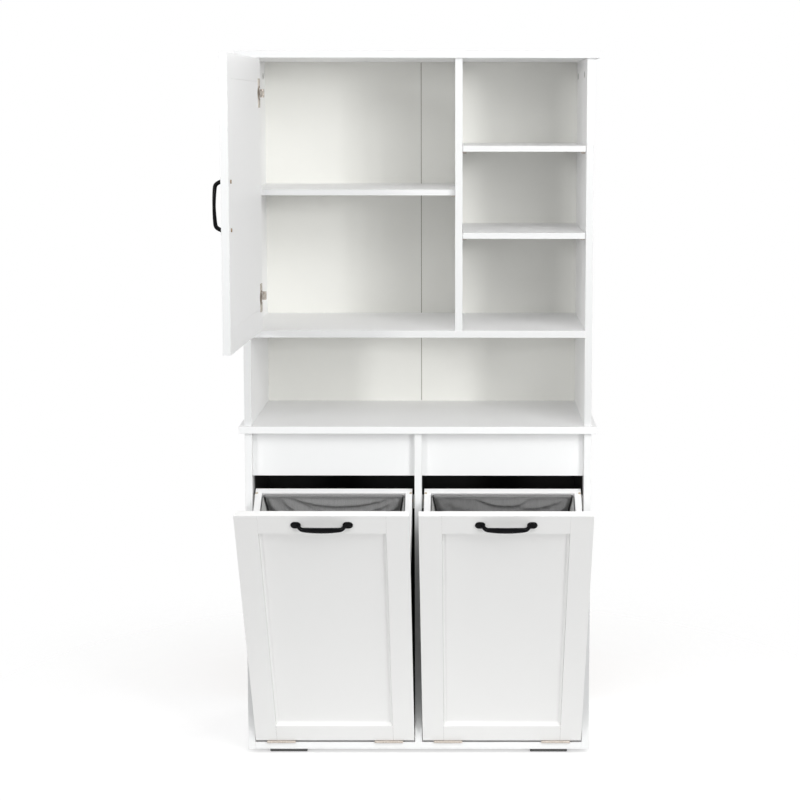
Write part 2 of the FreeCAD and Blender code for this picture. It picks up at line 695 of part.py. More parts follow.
def bag_frame(prefix, carrier):
    """Three boards behind the front that hold the bag's rim, and the stop pins in the rear board's ends."""
    side_size = ("{frame_board}", "{frame_depth} - {frame_board}", "{frame_rail_height}")
    back_size = ("2 * {frame_half}", "{frame_board}", "{frame_rail_height}")
    for name, x in (("left", "-{frame_half}"), ("right", "{frame_inner}")):
        side_low = (x, "{front_back}", "{frame_low}")
        keep(block(f"{prefix}_{name}_frame_rail", side_low, side_size, carrier))
    back_low = ("-{frame_half}", "{frame_back} - {frame_board}", "{frame_low}")
    back_blank = block(f"{prefix}_back_frame_rail_blank", back_low, back_size, carrier)
    seats = []
    pins = []
    left_starts = ("-{frame_half}", "-{frame_half} - {stop_pin_reach}")
    right_starts = ("{frame_half} - {stop_pin_seat}", "{frame_half} - {stop_pin_seat}")
    for i, (seat_x, pin_x) in enumerate((left_starts, right_starts)):
        seat = (seat_x, "{stop_pin_y}", "{stop_pin_z}")
        seat_radius = "{stop_pin_radius} + {running_clearance}"
        seats.append(rod(f"{prefix}_stop_pin_seat_{i}", seat, "x", seat_radius, "{stop_pin_seat}", carrier))
        end = (pin_x, "{stop_pin_y}", "{stop_pin_z}")
        length = "{stop_pin_seat} + {stop_pin_reach}"
        pins.append(rod(f"{prefix}_stop_pin_{i}", end, "x", "{stop_pin_radius}", length, carrier))
    keep(cut(f"{prefix}_back_frame_rail", back_blank, seats))
    keep(compound(f"{prefix}_stop_pins", pins))


def bag(prefix, carrier):
    """An open-topped fabric bag that fills the frame and hangs below it."""
    low = ("-{bag_half}", "{front_back} + {bag_gap}", "{front_low} + {bag_bottom}")
    inside_low = tuple(f"{place_text} + {{bag_wall}}" for place_text in low)
    outside = block(f"{prefix}_bag_outside", low, ("2 * {bag_half}", "{bag_depth}", "{bag_height}"), carrier)
    inside_size = ("2 * ({bag_half} - {bag_wall})", "{bag_depth} - 2 * {bag_wall}", "{bag_height}")
    inside = block(f"{prefix}_bag_inside", inside_low, inside_size, carrier)
    keep(cut(f"{prefix}_bag", outside, [inside]))


def stops(prefix, level):
    """Blocks on the bay's two walls, which the stop pins meet when the hamper is fully out."""
    pin_z = "({stop_pin_y} * sin({hamper_tilt}) + {stop_pin_z} * cos({hamper_tilt}))"
    size = ("{stop_block_thickness}", "{stop_block_depth}", "{stop_block_height}")
    for i, x in enumerate(("-{bay_width} / 2", "{bay_width} / 2 - {stop_block_thickness}")):
        low = (x, "{stop_block_y}", f"{pin_z} - {{stop_block_height}} / 2")
        stop_blocks.append(block(f"{prefix}_stop_block_{i}", low, size, level))


def hamper(prefix, side):
    """A framed front that tilts on two butt hinges and carries a board frame with a hanging bag."""
    carrier = hamper_carrier(side)
    level = expression(f"placement(vector({side} * {{bay_x}}; {{hinge_y}}; {{hinge_z}}); {NO_TURN}) * ")
    screw_z = "{front_low} + {front_height} - {rail_height} / 2"
    spots = [(f"{end} * {{handle_span}} / 2", screw_z) for end in (-1, 1)]
    front_place = ("{front_face}", "{front_thickness}", carrier)
    framed_front(
        f"{prefix}_front",
        ("-{front_width} / 2", "{front_face}", "{front_low}"),
        ("{front_width}", "{front_height}"),
        "{front_thickness}",
        carrier,
        {"top_rail": handle_holes(prefix, spots, *front_place)},
    )
    handle(f"{prefix}_handle", ("0", "{front_face}", screw_z), carrier)
    handle_screws(prefix, spots, *front_place)
    bag_frame(prefix, carrier)
    bag(prefix, carrier)
    butt_hinges(prefix, carrier, level)
    stops(prefix, level)


hamper("left_hamper", -1)
hamper("right_hamper", 1)
keep(compound("hamper_hinge_fixed_leaves", fixed_leaves))
keep(compound("hamper_hinge_pins", butt_pins))
keep(compound("hamper_stop_blocks", stop_blocks))

doc.recompute()
failed = [item.Label for item in doc.Objects if "Invalid" in item.State or "Error" in item.State]
broken = [item.Label for item in sub_parts if item.Shape.isNull() or not item.Shape.isValid()]
if failed or broken:
    raise RuntimeError(f"failed objects {failed}, broken shapes {broken}")

os.makedirs("parts", exist_ok=True)
for item in sub_parts:
    item.Shape.exportStep(f"parts/{item.Label}.step")
    print(f"{item.Label}: {len(item.Shape.Solids)} solids, {item.Shape.Volume / 1000:.1f} cm3")
print(f"{len(sub_parts)} sub-parts")
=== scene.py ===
import json
import math

import bmesh
import bpy
import numpy as np
from mathutils import Matrix, Vector


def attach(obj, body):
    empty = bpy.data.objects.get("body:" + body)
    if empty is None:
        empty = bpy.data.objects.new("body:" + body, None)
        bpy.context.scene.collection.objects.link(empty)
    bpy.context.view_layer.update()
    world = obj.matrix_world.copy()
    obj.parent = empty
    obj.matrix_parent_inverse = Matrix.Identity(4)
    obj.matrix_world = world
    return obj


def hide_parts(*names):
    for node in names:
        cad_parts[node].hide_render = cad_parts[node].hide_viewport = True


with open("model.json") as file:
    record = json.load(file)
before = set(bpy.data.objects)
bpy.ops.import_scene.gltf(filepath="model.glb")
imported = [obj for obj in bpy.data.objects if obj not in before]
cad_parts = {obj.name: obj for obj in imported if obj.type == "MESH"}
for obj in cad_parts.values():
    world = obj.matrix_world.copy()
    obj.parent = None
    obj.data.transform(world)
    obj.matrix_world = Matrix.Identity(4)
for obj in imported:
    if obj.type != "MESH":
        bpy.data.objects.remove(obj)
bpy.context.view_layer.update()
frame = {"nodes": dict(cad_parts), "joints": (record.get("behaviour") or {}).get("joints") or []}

nodes = frame["nodes"]
joints = {joint["name"]: joint for joint in frame["joints"]}

# Places and sizes of the cabinet, in metres, as the solids have them
CARCASS_HALF = 0.388
BOARD = 0.016
BACK_Y = 0.1865
REAR_Y = 0.1915
COUNTER_Z = 0.740
HUTCH_Z = 0.756
HUTCH_TOP_Z = 1.571
FIXED_SHELF_Z = 0.955
APRON_BACK_Y = -0.1565
FLOOR_BOARD_Z = 0.026
BASE_BACK_LOW_Z = 0.010

# The base's dark inside, painted shade for the deep shade behind the aprons: how far in from the outer faces
# it starts, and its fade behind the aprons
DARK_MARGIN = 0.002
DARK_FADE = (APRON_BACK_Y - 0.004, APRON_BACK_Y + 0.03)

# Widths of the small rounds on the arrises
BOARD_ARRIS = 0.0006
BACK_ARRIS = 0.0003
FRONT_ARRIS = 0.0004
DOOR_ARRIS = 0.0001
FOOT_ARRIS = 0.0015
BLOCK_ARRIS = 0.001
PIN_ARRIS = 0.0004
ARM_ARRIS = 0.0005
CUP_ARRIS = 0.0003
LEAF_ARRIS = 0.0002

# Brads of the backs, and the strip in the seam between the hutch's two backs
BRAD_INSET = 0.008
BRAD_PITCH = 0.11
BRAD_HEAD = {"Radius": 0.0022, "Height": 0.0004}
SEAM_HALF = 0.0005
STRIP_HALF = 0.00048
STRIP_Y = (0.1888, 0.1911)
STRIP_DENT = 0.00008

# A hamper's own frame: its origin on the hinge line, X along it, Y into the cabinet, Z up the front
HAMPER_ORIGIN = Vector((0.190, -0.1945, 0.0275))
HAMPER_TILT = math.radians(joints["left_hamper_tilt"]["range_deg"][1])
FRONT_FACE = 0.003
HANDLE_Z = 0.6825
STILE_EDGE = 0.1325
RAIL_SPANS = ((0.0015, 0.0515), (0.6575, 0.7075))
BAG_HALF = 0.1612
BAG_FRONT = 0.0183
BAG_BACK = 0.3127
BAG_LOW = 0.0615
BAG_RIM = 0.4785
FRAME_HALF = 0.1765
FRAME_TOP = 0.4815
FRAME_INNER_BACK = 0.313
CAP_HEAD = {"Radius": 0.0033, "Height": 0.0005}

# Dark lines in the fronts' grooves, painted shade for the shadow in the joints between stiles and rails: half
# width, front and back behind the face, and room at their ends
JOINT_SHADE_HALF = 0.00026
JOINT_SHADE_SPAN = (0.00012, 0.0006)
JOINT_SHADE_END = 0.0006

# The door's own frame: its origin on the hinge line, X across the door, Y through it
DOOR_ORIGIN = Vector((-0.36735, -0.1989, 0.0))
DOOR_OPEN = math.radians(joints["door_swing"]["range_deg"][1])
DOOR_FACE = 0.0074
DOOR_HANDLE = Vector((0.42435, DOOR_FACE, 1.2686))

# Hinges, with the places of their screws, and the cam locks
HINGE_LEVELS = (1.047, 1.494)
PLATE_THICKNESS = 0.002
PLATE_Y = -0.1322
PLATE_SCREW_RISE = 0.016
CUP_X = 0.01935
EAR_FACE = 0.0249
EAR_SCREW_RISE = 0.024
LEAF_SHIFT = 0.1225
LEAF_SCREW_STEP = 0.022
LEAF_Y = -0.1815
LEAF_Z = 0.0272
LEAF_HEAD = {"Radius": 0.0032, "Height": 0.00025}
LOCK_DROP = 0.034
LOCK_Y = (-0.100, 0.140)

# Bow handles
HANDLE_SPAN = 0.096
HANDLE_REACH = 0.0173
FOOT_RADIUS = 0.0085
FOOT_OFFSET = 0.0035
FOOT_SHIFT = 0.00435
FOOT_THICKNESS = 0.003
FOOT_STEPS = ((0.0, 0.0), (0.0, 0.0016), (0.0004, 0.0024), (0.0012, 0.0029), (0.004, FOOT_THICKNESS))
BOW_HALF = 0.041
BOW_THICK = 0.0033
BOW_TALL = 0.0074
LEG_THICKER = 0.0009
LEG_LOWER = 0.0026
FLARE_REACH = 0.005
FLARE_THICK = 0.0018
FLARE_TALL = 0.0022

# Smooth shading stops at edges sharper than these, in degrees
BOARD_EDGE = 35.0
HEAD_EDGE = 40.0
ROUND_EDGE = 50.0


def hamper_place(side):
    """From a hamper's own frame to the shared frame, as the hamper rests on its stops."""
    origin = Vector((side * HAMPER_ORIGIN.x, HAMPER_ORIGIN.y, HAMPER_ORIGIN.z))
    return Matrix.Translation(origin) @ Matrix.Rotation(HAMPER_TILT, 4, "X")


def door_place():
    """From the door's own frame to the shared frame, as the door stands open."""
    return Matrix.Translation(DOOR_ORIGIN) @ Matrix.Rotation(-DOOR_OPEN, 4, "Z")


class Wire:
    """A node's output. Sums on it add Math nodes to its graph."""

    def __init__(self, graph, socket):
        self.graph = graph
        self.socket = socket

    def math(self, operation, *terms):
        """A Math node on these terms."""
        return self.graph.node("ShaderNodeMath", {"operation": operation}, dict(enumerate(terms)))

    def __add__(self, other):
        return self.math("ADD", self, other)

    __radd__ = __add__

    def __sub__(self, other):
        return self.math("SUBTRACT", self, other)

    def __rsub__(self, other):
        return self.math("SUBTRACT", other, self)

    def __mul__(self, other):
        return self.math("MULTIPLY", self, other)

    __rmul__ = __mul__

    def __truediv__(self, other):
        return self.math("DIVIDE", self, other)

    def __rtruediv__(self, other):
        return self.math("DIVIDE", other, self)

    def __gt__(self, other):
        return self.math("GREATER_THAN", self, other)

    def __lt__(self, other):
        return self.math("LESS_THAN", self, other)

    def __abs__(self):
        return self.math("ABSOLUTE", self)


class Graph:
    """A node tree that is filled from Python."""

    def __init__(self, tree):
        self.tree = tree

    def node(self, kind, settings=None, inputs=None, output=0):
        """Add a node: its settings first, then the values or links of its sockets.
        Gives the output that is named, or a list where a tuple names several."""
        made = self.tree.nodes.new(kind)
        for name, value in (settings or {}).items():
            setattr(made, name, value)
        for name, value in (inputs or {}).items():
            self.feed(made.inputs[name], value)
        if isinstance(output, tuple):
            return [Wire(self, made.outputs[name]) for name in output]
        return Wire(self, made.outputs[output]) if len(made.outputs) else made

    def feed(self, socket, value):
        """Link a wire to a socket, or write a plain value on it."""
        if isinstance(value, Wire):
            self.tree.links.new(value.socket, socket)
        else:
            socket.default_value = value


def rgb(red, green, blue):
    """A colour written in screen values from 0 to 255, as the renderer's linear colour."""
    linear = [
        c / 12.92 if c <= 0.04045 else ((c + 0.055) / 1.055) ** 2.4
        for c in (red / 255, green / 255, blue / 255)
    ]
    return (*linear, 1.0)


def grey(level):
    """A grey written in a screen value."""
    return rgb(level, level, level)


def dimmed(colour, share):
    """A colour with this share of its light."""
    return (*(c * share for c in colour[:3]), 1.0)


class Finish(Graph):
    """A procedural material on one Principled shader."""

    def __init__(self, name, **constants):
        self.material = bpy.data.materials.new(name)
        self.material.use_nodes = True
        super().__init__(self.material.node_tree)
        self.tree.nodes.clear()
        inputs = {label.replace("_", " "): value for label, value in constants.items()}
        surface = self.node("ShaderNodeBsdfPrincipled", None, inputs)
        self.shader = surface.socket.node
        self.node("ShaderNodeOutputMaterial", None, {"Surface": surface})
        self.place = self.node("ShaderNodeTexCoord", output="Object")

    def set(self, label, value):
        """Feed one of the shader's sockets."""
        self.feed(self.shader.inputs[label], value)

    def axes(self):
        """The place on the piece as three values."""
        return self.node("ShaderNodeSeparateXYZ", None, {0: self.place}, (0, 1, 2))

    def facing(self):
        """The way that the surface faces, as three values."""
        normal = self.node("ShaderNodeTexCoord", output="Normal")
        return self.node("ShaderNodeSeparateXYZ", None, {0: normal}, (0, 1, 2))

    def noise(self, scale, detail=2.0, roughness=0.5, stretch=None):
        """Noise of about that many marks to the metre."""
        place = self.place
        if stretch:
            place = self.node("ShaderNodeMapping", None, {"Vector": place, "Scale": stretch})
        inputs = {"Vector": place, "Scale": scale, "Detail": detail, "Roughness": roughness}
        return self.node("ShaderNodeTexNoise", None, inputs)

    def between(self, value, low, high, start=0.0, end=1.0):
        """The value's way from low to high, eased, as a number from start to end."""
        inputs = {"Value": value, "From Min": low, "From Max": high, "To Min": start, "To Max": end}
        return self.node("ShaderNodeMapRange", {"interpolation_type": "SMOOTHSTEP"}, inputs)

    def spread(self, noise, start=0.0, end=1.0):
        """A noise's usual range as a number from start to end."""
        return self.between(noise, 0.3, 0.7, start, end)

    def mix(self, factor, first, second):
        """A colour from the first to the second."""
        return self.node("ShaderNodeMix", {"data_type": "RGBA"}, {0: factor, 6: first, 7: second}, 2)

    def bump(self, height, distance):
        """Fine relief, as deep as the distance in metres."""
        inputs = {"Height": height, "Distance": distance, "Strength": 1.0}
        self.set("Normal", self.node("ShaderNodeBump", None, inputs))


def clouded(finish, face, colour):
    """A foil's colour with faint clouds of a dimmer face in it."""
    cloud = finish.spread(finish.noise(7.0, 3.0), 0.975, 1.0)
    return finish.mix(cloud, dimmed(face, 0.9), colour)


def foil_sheen(finish):
    """The satin roughness of a foil."""
    return finish.spread(finish.noise(40.0), 0.38, 0.46)


def laminate(name, face, edge, painted_shade_inside=False):
    """White satin foil on board. Faces that face the front are painted greyer, as painted shade in place of
    less light on them.
    The base's deep inside faces are painted near black, as painted shade for the deep shade there."""
    finish = Finish(name, IOR=1.46)
    # Painted shade: faces that face the front get the greyer edge colour, in place of less light on them.
    ahead = finish.between(finish.facing()[1], -0.95, -0.8, 1.0, 0.0)
    colour = clouded(finish, face, finish.mix(ahead, face, edge))
    rough = foil_sheen(finish)
    if painted_shade_inside:
        # Painted shade: the deep inside faces of the base get a near-black colour, standing in for the deep
        # shade behind the aprons.
        x, y, z = finish.axes()
        deep = finish.between(y, *DARK_FADE)
        within = (abs(x) < CARCASS_HALF - DARK_MARGIN) * (y < BACK_Y)
        within = within * (z < COUNTER_Z + DARK_MARGIN) * (z > FLOOR_BOARD_Z - DARK_MARGIN)
        # Painted shade: this near-black colour with fine noise is the shade inside the base, not a colour of
        # the board.
        fibre = finish.mix(finish.noise(300.0), rgb(30, 29, 28), rgb(44, 42, 40))
        colour = finish.mix(deep * within, colour, fibre)
        rough = rough + deep * within * 0.4
    finish.set("Base Color", colour)
    finish.set("Roughness", rough)
    finish.bump(finish.noise(900.0, 2.0), 0.00004)
    return finish.material


def door_foil(name, inside, outside, edge):
    """The door's white foil: pale inside, as the hamper fronts outside. Its edge that faces the front is
    painted greyer, as painted shade.
    """
    finish = Finish(name, IOR=1.46)
    x, y, _ = finish.facing()
    colour = finish.mix(finish.between(x, 0.2, 0.6), outside, inside)
    # Painted shade: the door's edge that faces the front gets the greyer edge colour.
    colour = finish.mix(finish.between(y, -0.95, -0.8, 1.0, 0.0), colour, edge)
    finish.set("Base Color", clouded(finish, outside, colour))
    finish.set("Roughness", foil_sheen(finish))
    finish.bump(finish.noise(900.0, 2.0), 0.00004)
    return finish.material


def back_board(name, inside):
    """Thin fibreboard: a painted face inside, raw brown fibre behind and on its edges."""
    finish = Finish(name, IOR=1.45)
    behind = finish.facing()[1] > -0.7
    fibre = finish.noise(420.0, 4.0, 0.7, (1.0, 1.0, 0.35))
    brown = finish.mix(finish.spread(fibre), rgb(134, 104, 74), rgb(168, 136, 100))
    painted = finish.mix(finish.noise(9.0), inside, dimmed(inside, 0.97))
    finish.set("Base Color", finish.mix(behind, painted, brown))
    finish.set("Roughness", behind * 0.25 + 0.55)
    finish.bump(fibre, 0.00008)
    return finish.material


def black_satin(name):
    """Black powder coat with a low satin sheen."""
    finish = Finish(name, IOR=1.5, Coat_Roughness=0.1, Specular_IOR_Level=0.05)
    grain = finish.noise(1600.0, 2.0)
    finish.set("Base Color", finish.mix(grain, rgb(3, 3, 5), rgb(9, 9, 13)))
    finish.set("Roughness", finish.spread(finish.noise(120.0), 0.26, 0.36))
    finish.set("Coat Weight", finish.spread(finish.noise(60.0), 0.05, 0.1))
    finish.bump(grain, 0.00003)
    return finish.material


def plated(name, pale, deep, streaks):
    """Plated metal with fine drawn streaks and dull patches."""
    finish = Finish(name)
    drawn = finish.noise(900.0, 3.0, 0.6, streaks)
    finish.set("Base Color", finish.mix(finish.spread(drawn), deep, pale))
    finish.set("Metallic", finish.between(finish.noise(150.0), 0.2, 0.5, 0.55, 0.7))
    finish.set("Roughness", finish.spread(drawn, 0.28, 0.42))
    finish.bump(drawn, 0.00002)
    return finish.material


def moulded(name, pale, deep):
    """Moulded plastic with a fine spark-eroded grain."""
    finish = Finish(name, IOR=1.49)
    grain = finish.noise(1400.0, 3.0)
    finish.set("Base Color", finish.mix(finish.noise(30.0), deep, pale))
    finish.set("Roughness", finish.spread(grain, 0.5, 0.68))
    finish.bump(grain, 0.00005)
    return finish.material


CLOTH_PITCH = 0.0013


def bag_cloth(name, deep, pale, light):
    """Plain woven cloth. Its threads follow the cloth's own map, which is in metres."""
    finish = Finish(name, IOR=1.4, Sheen_Weight=0.2, Sheen_Roughness=0.5)
    finish.place = finish.node("ShaderNodeTexCoord", output="UV")
    u, v, _ = finish.axes()
    turns = 2 * math.pi / CLOTH_PITCH
    warp = (u * turns).math("SINE", u * turns)
    weft = (v * turns).math("SINE", v * turns)
    weave = warp * weft
    slub = finish.noise(500.0, 3.0, 0.6, (1.0, 0.08, 1.0))
    thread = finish.mix(finish.spread(slub), deep, pale)
    finish.set("Base Color", finish.mix(weave * 0.5 + 0.5, thread, light))
    finish.set("Roughness", finish.spread(slub, 0.8, 0.95))
    finish.bump(weave * 0.6 + slub * 0.6, 0.00022)
    return finish.material


def webbing_cloth(name, deep, pale):
    """Ribbed woven tape, with ribs along its run."""
    finish = Finish(name, IOR=1.4, Sheen_Weight=0.15, Sheen_Roughness=0.5)
    rib = finish.noise(1500.0, 2.0, 0.5, (1.0, 0.25, 1.0))
    finish.set("Base Color", finish.mix(finish.spread(rib), deep, pale))
    finish.set("Roughness", finish.spread(rib, 0.75, 0.92))
    finish.bump(rib, 0.00025)
    return finish.material


FOIL = grey(249)
FRONT_FOIL = rgb(248, 248, 247)
# Painted shade: a grey for the faces that face the front, darker than the foil in place of less light on
# them.
EDGE_SHADE = rgb(225, 226, 226)
WHITE = laminate("white_foil", FOIL, EDGE_SHADE)
# Painted shade: the base's foil, slightly greyer on faces that face the front and near black on its deep
# inside faces.
BASE_WHITE = laminate("white_foil_base", FOIL, rgb(245, 246, 246), True)
FRONT_WHITE = laminate("white_front", FRONT_FOIL, FRONT_FOIL)
DOOR_WHITE = door_foil("white_door", FOIL, FRONT_FOIL, EDGE_SHADE)
PALE_BACK = back_board("painted_back", rgb(246, 246, 241))
# Painted shade: the base's back panel is painted near black inside, for the deep shade behind the aprons.
PAINTED_SHADE_BACK = back_board("dark_back", rgb(34, 33, 32))
BROWN_BOARD = back_board("brown_strip", rgb(112, 92, 68))
BLACK = black_satin("black_handle")
NICKEL = plated("nickel_plate", rgb(206, 197, 188), rgb(176, 167, 158), (1.0, 1.0, 0.1))
STEEL = plated("zinc_screw", rgb(178, 158, 136), rgb(140, 118, 96), (0.3, 0.3, 0.3))
LOCK_ZINC = plated("lock_zinc", rgb(150, 150, 142), rgb(112, 112, 104), (0.4, 0.4, 0.4))
BRASS = plated("brass_pin", rgb(206, 170, 96), rgb(170, 132, 66), (1.0, 0.2, 1.0))
TAN_CAP = moulded("tan_cap", rgb(206, 194, 174), rgb(188, 174, 152))
FOOT_GREY = moulded("foot_grey", grey(96), grey(80))
STOP_GREY = moulded("stop_grey", rgb(208, 208, 204), rgb(192, 192, 188))
LEFT_CLOTH = bag_cloth("left_bag_cloth", grey(118), grey(140), grey(148))
# Painted shade: the right bag has the left bag's cloth painted darker, for the shade on it.
RIGHT_CLOTH_PAINTED_SHADE = bag_cloth("right_bag_cloth", grey(102), grey(122), grey(130))
HEM_CLOTH = webbing_cloth("hem_cloth", grey(138), grey(164))
TAPE_CLOTH = webbing_cloth("tape_cloth", rgb(216, 216, 214), rgb(236, 236, 234))
THREAD = webbing_cloth("thread", grey(84), grey(108))
# Painted shade: the near-black cloth of the cords that stand for the shadowed back corners.
SHADE_CORD_CLOTH = webbing_cloth("piping", grey(34), grey(52))
# Painted shade: the grey of the dark lines in the fronts' joints, standing for the shadow in those grooves.
JOINT_SHADE_GREY = moulded("joint_grey", rgb(112, 108, 102), rgb(92, 88, 84))


# A cross recess: its bars' width and depth as shares of their length
RECESS_WIDTH = 0.24
RECESS_DEPTH = 0.4


class Repeat(Graph):
    """A geometry tree that sets one small shape on each point of a mesh."""

    def __init__(self, name, **sizes):
        super().__init__(bpy.data.node_groups.new(name, "GeometryNodeTree"))
        plan = self.tree.interface
        plan.new_socket("Points", in_out="INPUT", socket_type="NodeSocketGeometry")
        for label, value in sizes.items():
            plan.new_socket(label, in_out="INPUT", socket_type="NodeSocketFloat").default_value = value
        plan.new_socket("Finish", in_out="INPUT", socket_type="NodeSocketMaterial")
        plan.new_socket("Mesh", in_out="OUTPUT", socket_type="NodeSocketGeometry")
        group = self.node("NodeGroupInput").socket.node
        self.given = {socket.name: Wire(self, socket) for socket in group.outputs}

    def vector(self, x, y, z):
        """Three values as a vector."""
        return self.node("ShaderNodeCombineXYZ", None, {0: x, 1: y, 2: z})

    def attribute(self, name):
        """A vector that the points carry."""
        return self.node("GeometryNodeInputNamedAttribute", {"data_type": "FLOAT_VECTOR"}, {"Name": name})

    def ball(self, segments, rings, x, y, z):
        """A round stretched to half sizes x, y and z."""
        inputs = {"Segments": segments, "Rings": rings, "Radius": 1.0}
        shape = self.node("GeometryNodeMeshUVSphere", None, inputs)
        return self.node("GeometryNodeTransform", None, {"Geometry": shape, "Scale": self.vector(x, y, z)})

    def cross_cut(self, shape, recess, top):
        """A shape with a cross recess cut down from its top."""
        slim, deep = recess * RECESS_WIDTH, recess * RECESS_DEPTH
        for x, y in ((recess, slim), (slim, recess)):
            bar = self.node("GeometryNodeMeshCube", None, {"Size": self.vector(x, y, deep)})
            place = {"Geometry": bar, "Translation": self.vector(0.0, 0.0, top)}
            bar = self.node("GeometryNodeTransform", None, place)
            inputs = {"Mesh 1": shape, "Mesh 2": bar}
            shape = self.node("GeometryNodeMeshBoolean", {"operation": "DIFFERENCE"}, inputs)
        return shape

    def close(self, shape):
        """Stand the shape on every point: its Z the way the point faces, its X along the point's run."""
        inputs = {"Vector": self.attribute("facing")}
        turn = self.node("FunctionNodeAlignRotationToVector", {"axis": "Z"}, inputs)
        inputs = {"Rotation": turn, "Vector": self.attribute("along")}
        turn = self.node("FunctionNodeAlignRotationToVector", {"axis": "X", "pivot_axis": "Z"}, inputs)
        inputs = {"Points": self.given["Points"], "Instance": shape, "Rotation": turn}
        whole = self.node("GeometryNodeInstanceOnPoints", None, inputs)
        whole = self.node("GeometryNodeRealizeInstances", None, {"Geometry": whole})
        inputs = {"Geometry": whole, "Material": self.given["Finish"]}
        whole = self.node("GeometryNodeSetMaterial", None, inputs)
        self.node("NodeGroupOutput", None, {"Mesh": whole})
        return self.tree


def screw_tree():
    """A domed screw head with a cross recess."""
    graph = Repeat("screw_heads", Radius=0.004, Height=0.0012)
    radius, height = graph.given["Radius"], graph.given["Height"]
    return graph.close(graph.cross_cut(graph.ball(20, 10, radius, radius, height), radius * 1.1, height))


def lock_tree():
    """A cam lock: a round disc with a cross recess, let into a board."""
    graph = Repeat("cam_locks", Radius=0.0075, Height=0.0003)
    radius, height = graph.given["Radius"], graph.given["Height"]
    inputs = {"Vertices": 32, "Radius": radius, "Depth": height * 2}
    disc = graph.node("GeometryNodeMeshCylinder", None, inputs)
    return graph.close(graph.cross_cut(disc, radius * 1.2, height))


def brad_tree():
    """A small round nail head."""
    graph = Repeat("brad_heads", Radius=0.002, Height=0.0004)
    radius = graph.given["Radius"]
    return graph.close(graph.ball(10, 4, radius, radius, graph.given["Height"]))


def stitch_tree():
    """One stitch of thread."""
    graph = Repeat("stitches", Length=0.003, Thread=0.0007)
    half = graph.given["Thread"] / 2
    return graph.close(graph.ball(8, 5, graph.given["Length"] / 2, half, half))


SCREWS = screw_tree()
LOCKS = lock_tree()
BRADS = brad_tree()
STITCHES = stitch_tree()


def place_piece(name, mesh, body, material, replaced=()):
    """Hand a finished mesh to its body."""
    mesh.name = name
    mesh.materials.clear()
    mesh.materials.append(material)
    piece = bpy.data.objects.new(name, mesh)
    bpy.context.scene.collection.objects.link(piece)
    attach(piece, body)
    if replaced:
        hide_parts(*replaced)
    return piece


def plain_mesh(holder):
    """The holder's mesh with its modifiers worked in. The holder is removed."""
    graph = bpy.context.evaluated_depsgraph_get()
    mesh = bpy.data.meshes.new_from_object(holder.evaluated_get(graph))
    bpy.data.objects.remove(holder)
    return mesh


def holder_of(data):
    """A passing object for modifiers to work on."""
    holder = bpy.data.objects.new("holder", data)
    bpy.context.scene.collection.objects.link(holder)
    return holder


def smooth_curves(mesh, angle):
    """Smooth shading that leaves edges sharper than the angle."""
    mesh.polygons.foreach_set("use_smooth", np.ones(len(mesh.polygons), bool))
    mesh.set_sharp_from_angle(angle=math.radians(angle))


def eased(node, body, material, width):
    """A solid with its arrises rounded off by a small width."""
    work = bmesh.new()
    work.from_mesh(nodes[node].data)
    bmesh.ops.remove_doubles(work, verts=work.verts, dist=1e-6)
    bmesh.ops.dissolve_limit(work, angle_limit=math.radians(0.5), verts=work.verts, edges=work.edges)
    mesh = bpy.data.meshes.new(node)
    work.to_mesh(mesh)
    work.free()
    smooth_curves(mesh, BOARD_EDGE)
    holder = holder_of(mesh)
    bevel = holder.modifiers.new("arris", "BEVEL")
    bevel.width = width
    bevel.segments = 2
    bevel.limit_method = "ANGLE"
    bevel.angle_limit = math.radians(40)
    bevel.harden_normals = True
    mesh = plain_mesh(holder)
    return place_piece(f"{node}_eased", mesh, body, material, [node])


def set_out(name, tree, places, sizes, body, material):
    """Set a tree's shape on places, each a point, the way it faces and its run, as one mesh."""
    mesh = bpy.data.meshes.new(name)
    mesh.from_pydata([place[0] for place in places], [], [])
    for label, column in (("facing", 1), ("along", 2)):
        layer = mesh.attributes.new(label, "FLOAT_VECTOR", "POINT")
        layer.data.foreach_set("vector", [value for place in places for value in place[column]])
    holder = holder_of(mesh)
    work = holder.modifiers.new("set_out", "NODES")
    work.node_group = tree
    sockets = {item.name: item.identifier for item in tree.interface.items_tree}
    for label, value in {**sizes, "Finish": material}.items():
        work[sockets[label]] = value
    mesh = plain_mesh(holder)
    smooth_curves(mesh, HEAD_EDGE)
    return place_piece(name, mesh, body, material)


def spaced(start, end, pitch):
    """Even places from start to end, about a pitch apart."""
    count = max(1, round(abs(end - start) / pitch))
    return [start + (end - start) * i / count for i in range(count + 1)]


RIGHT, UP, REAR = (1, 0, 0), (0, 0, 1), (0, 1, 0)


def back_brads():
    """Brads that hold the back panels, round their edges and into the boards between."""
    places = []
    panels = [
        (-CARCASS_HALF, -SEAM_HALF, HUTCH_Z, HUTCH_TOP_Z),
        (SEAM_HALF, CARCASS_HALF, HUTCH_Z, HUTCH_TOP_Z),
        (-CARCASS_HALF, CARCASS_HALF, BASE_BACK_LOW_Z, COUNTER_Z),
    ]
    for left, right, low, high in panels:
        columns = spaced(left + BRAD_INSET, right - BRAD_INSET, BRAD_PITCH)
        rows = spaced(low + BRAD_INSET, high - BRAD_INSET, BRAD_PITCH)
        places += [(x, REAR_Y, z) for z in (rows[0], rows[-1]) for x in columns]
        places += [(x, REAR_Y, z) for x in (columns[0], columns[-1]) for z in rows[1:-1]]
    places += [(x, REAR_Y, FIXED_SHELF_Z + BOARD / 2) for x in spaced(-0.33, 0.33, BRAD_PITCH)]
    places += [(0.0, REAR_Y, z) for z in spaced(0.12, 0.63, BRAD_PITCH)]
    brads = [(place, REAR, RIGHT) for place in places]
    set_out("back_brads", BRADS, brads, BRAD_HEAD, "cabinet", STEEL)


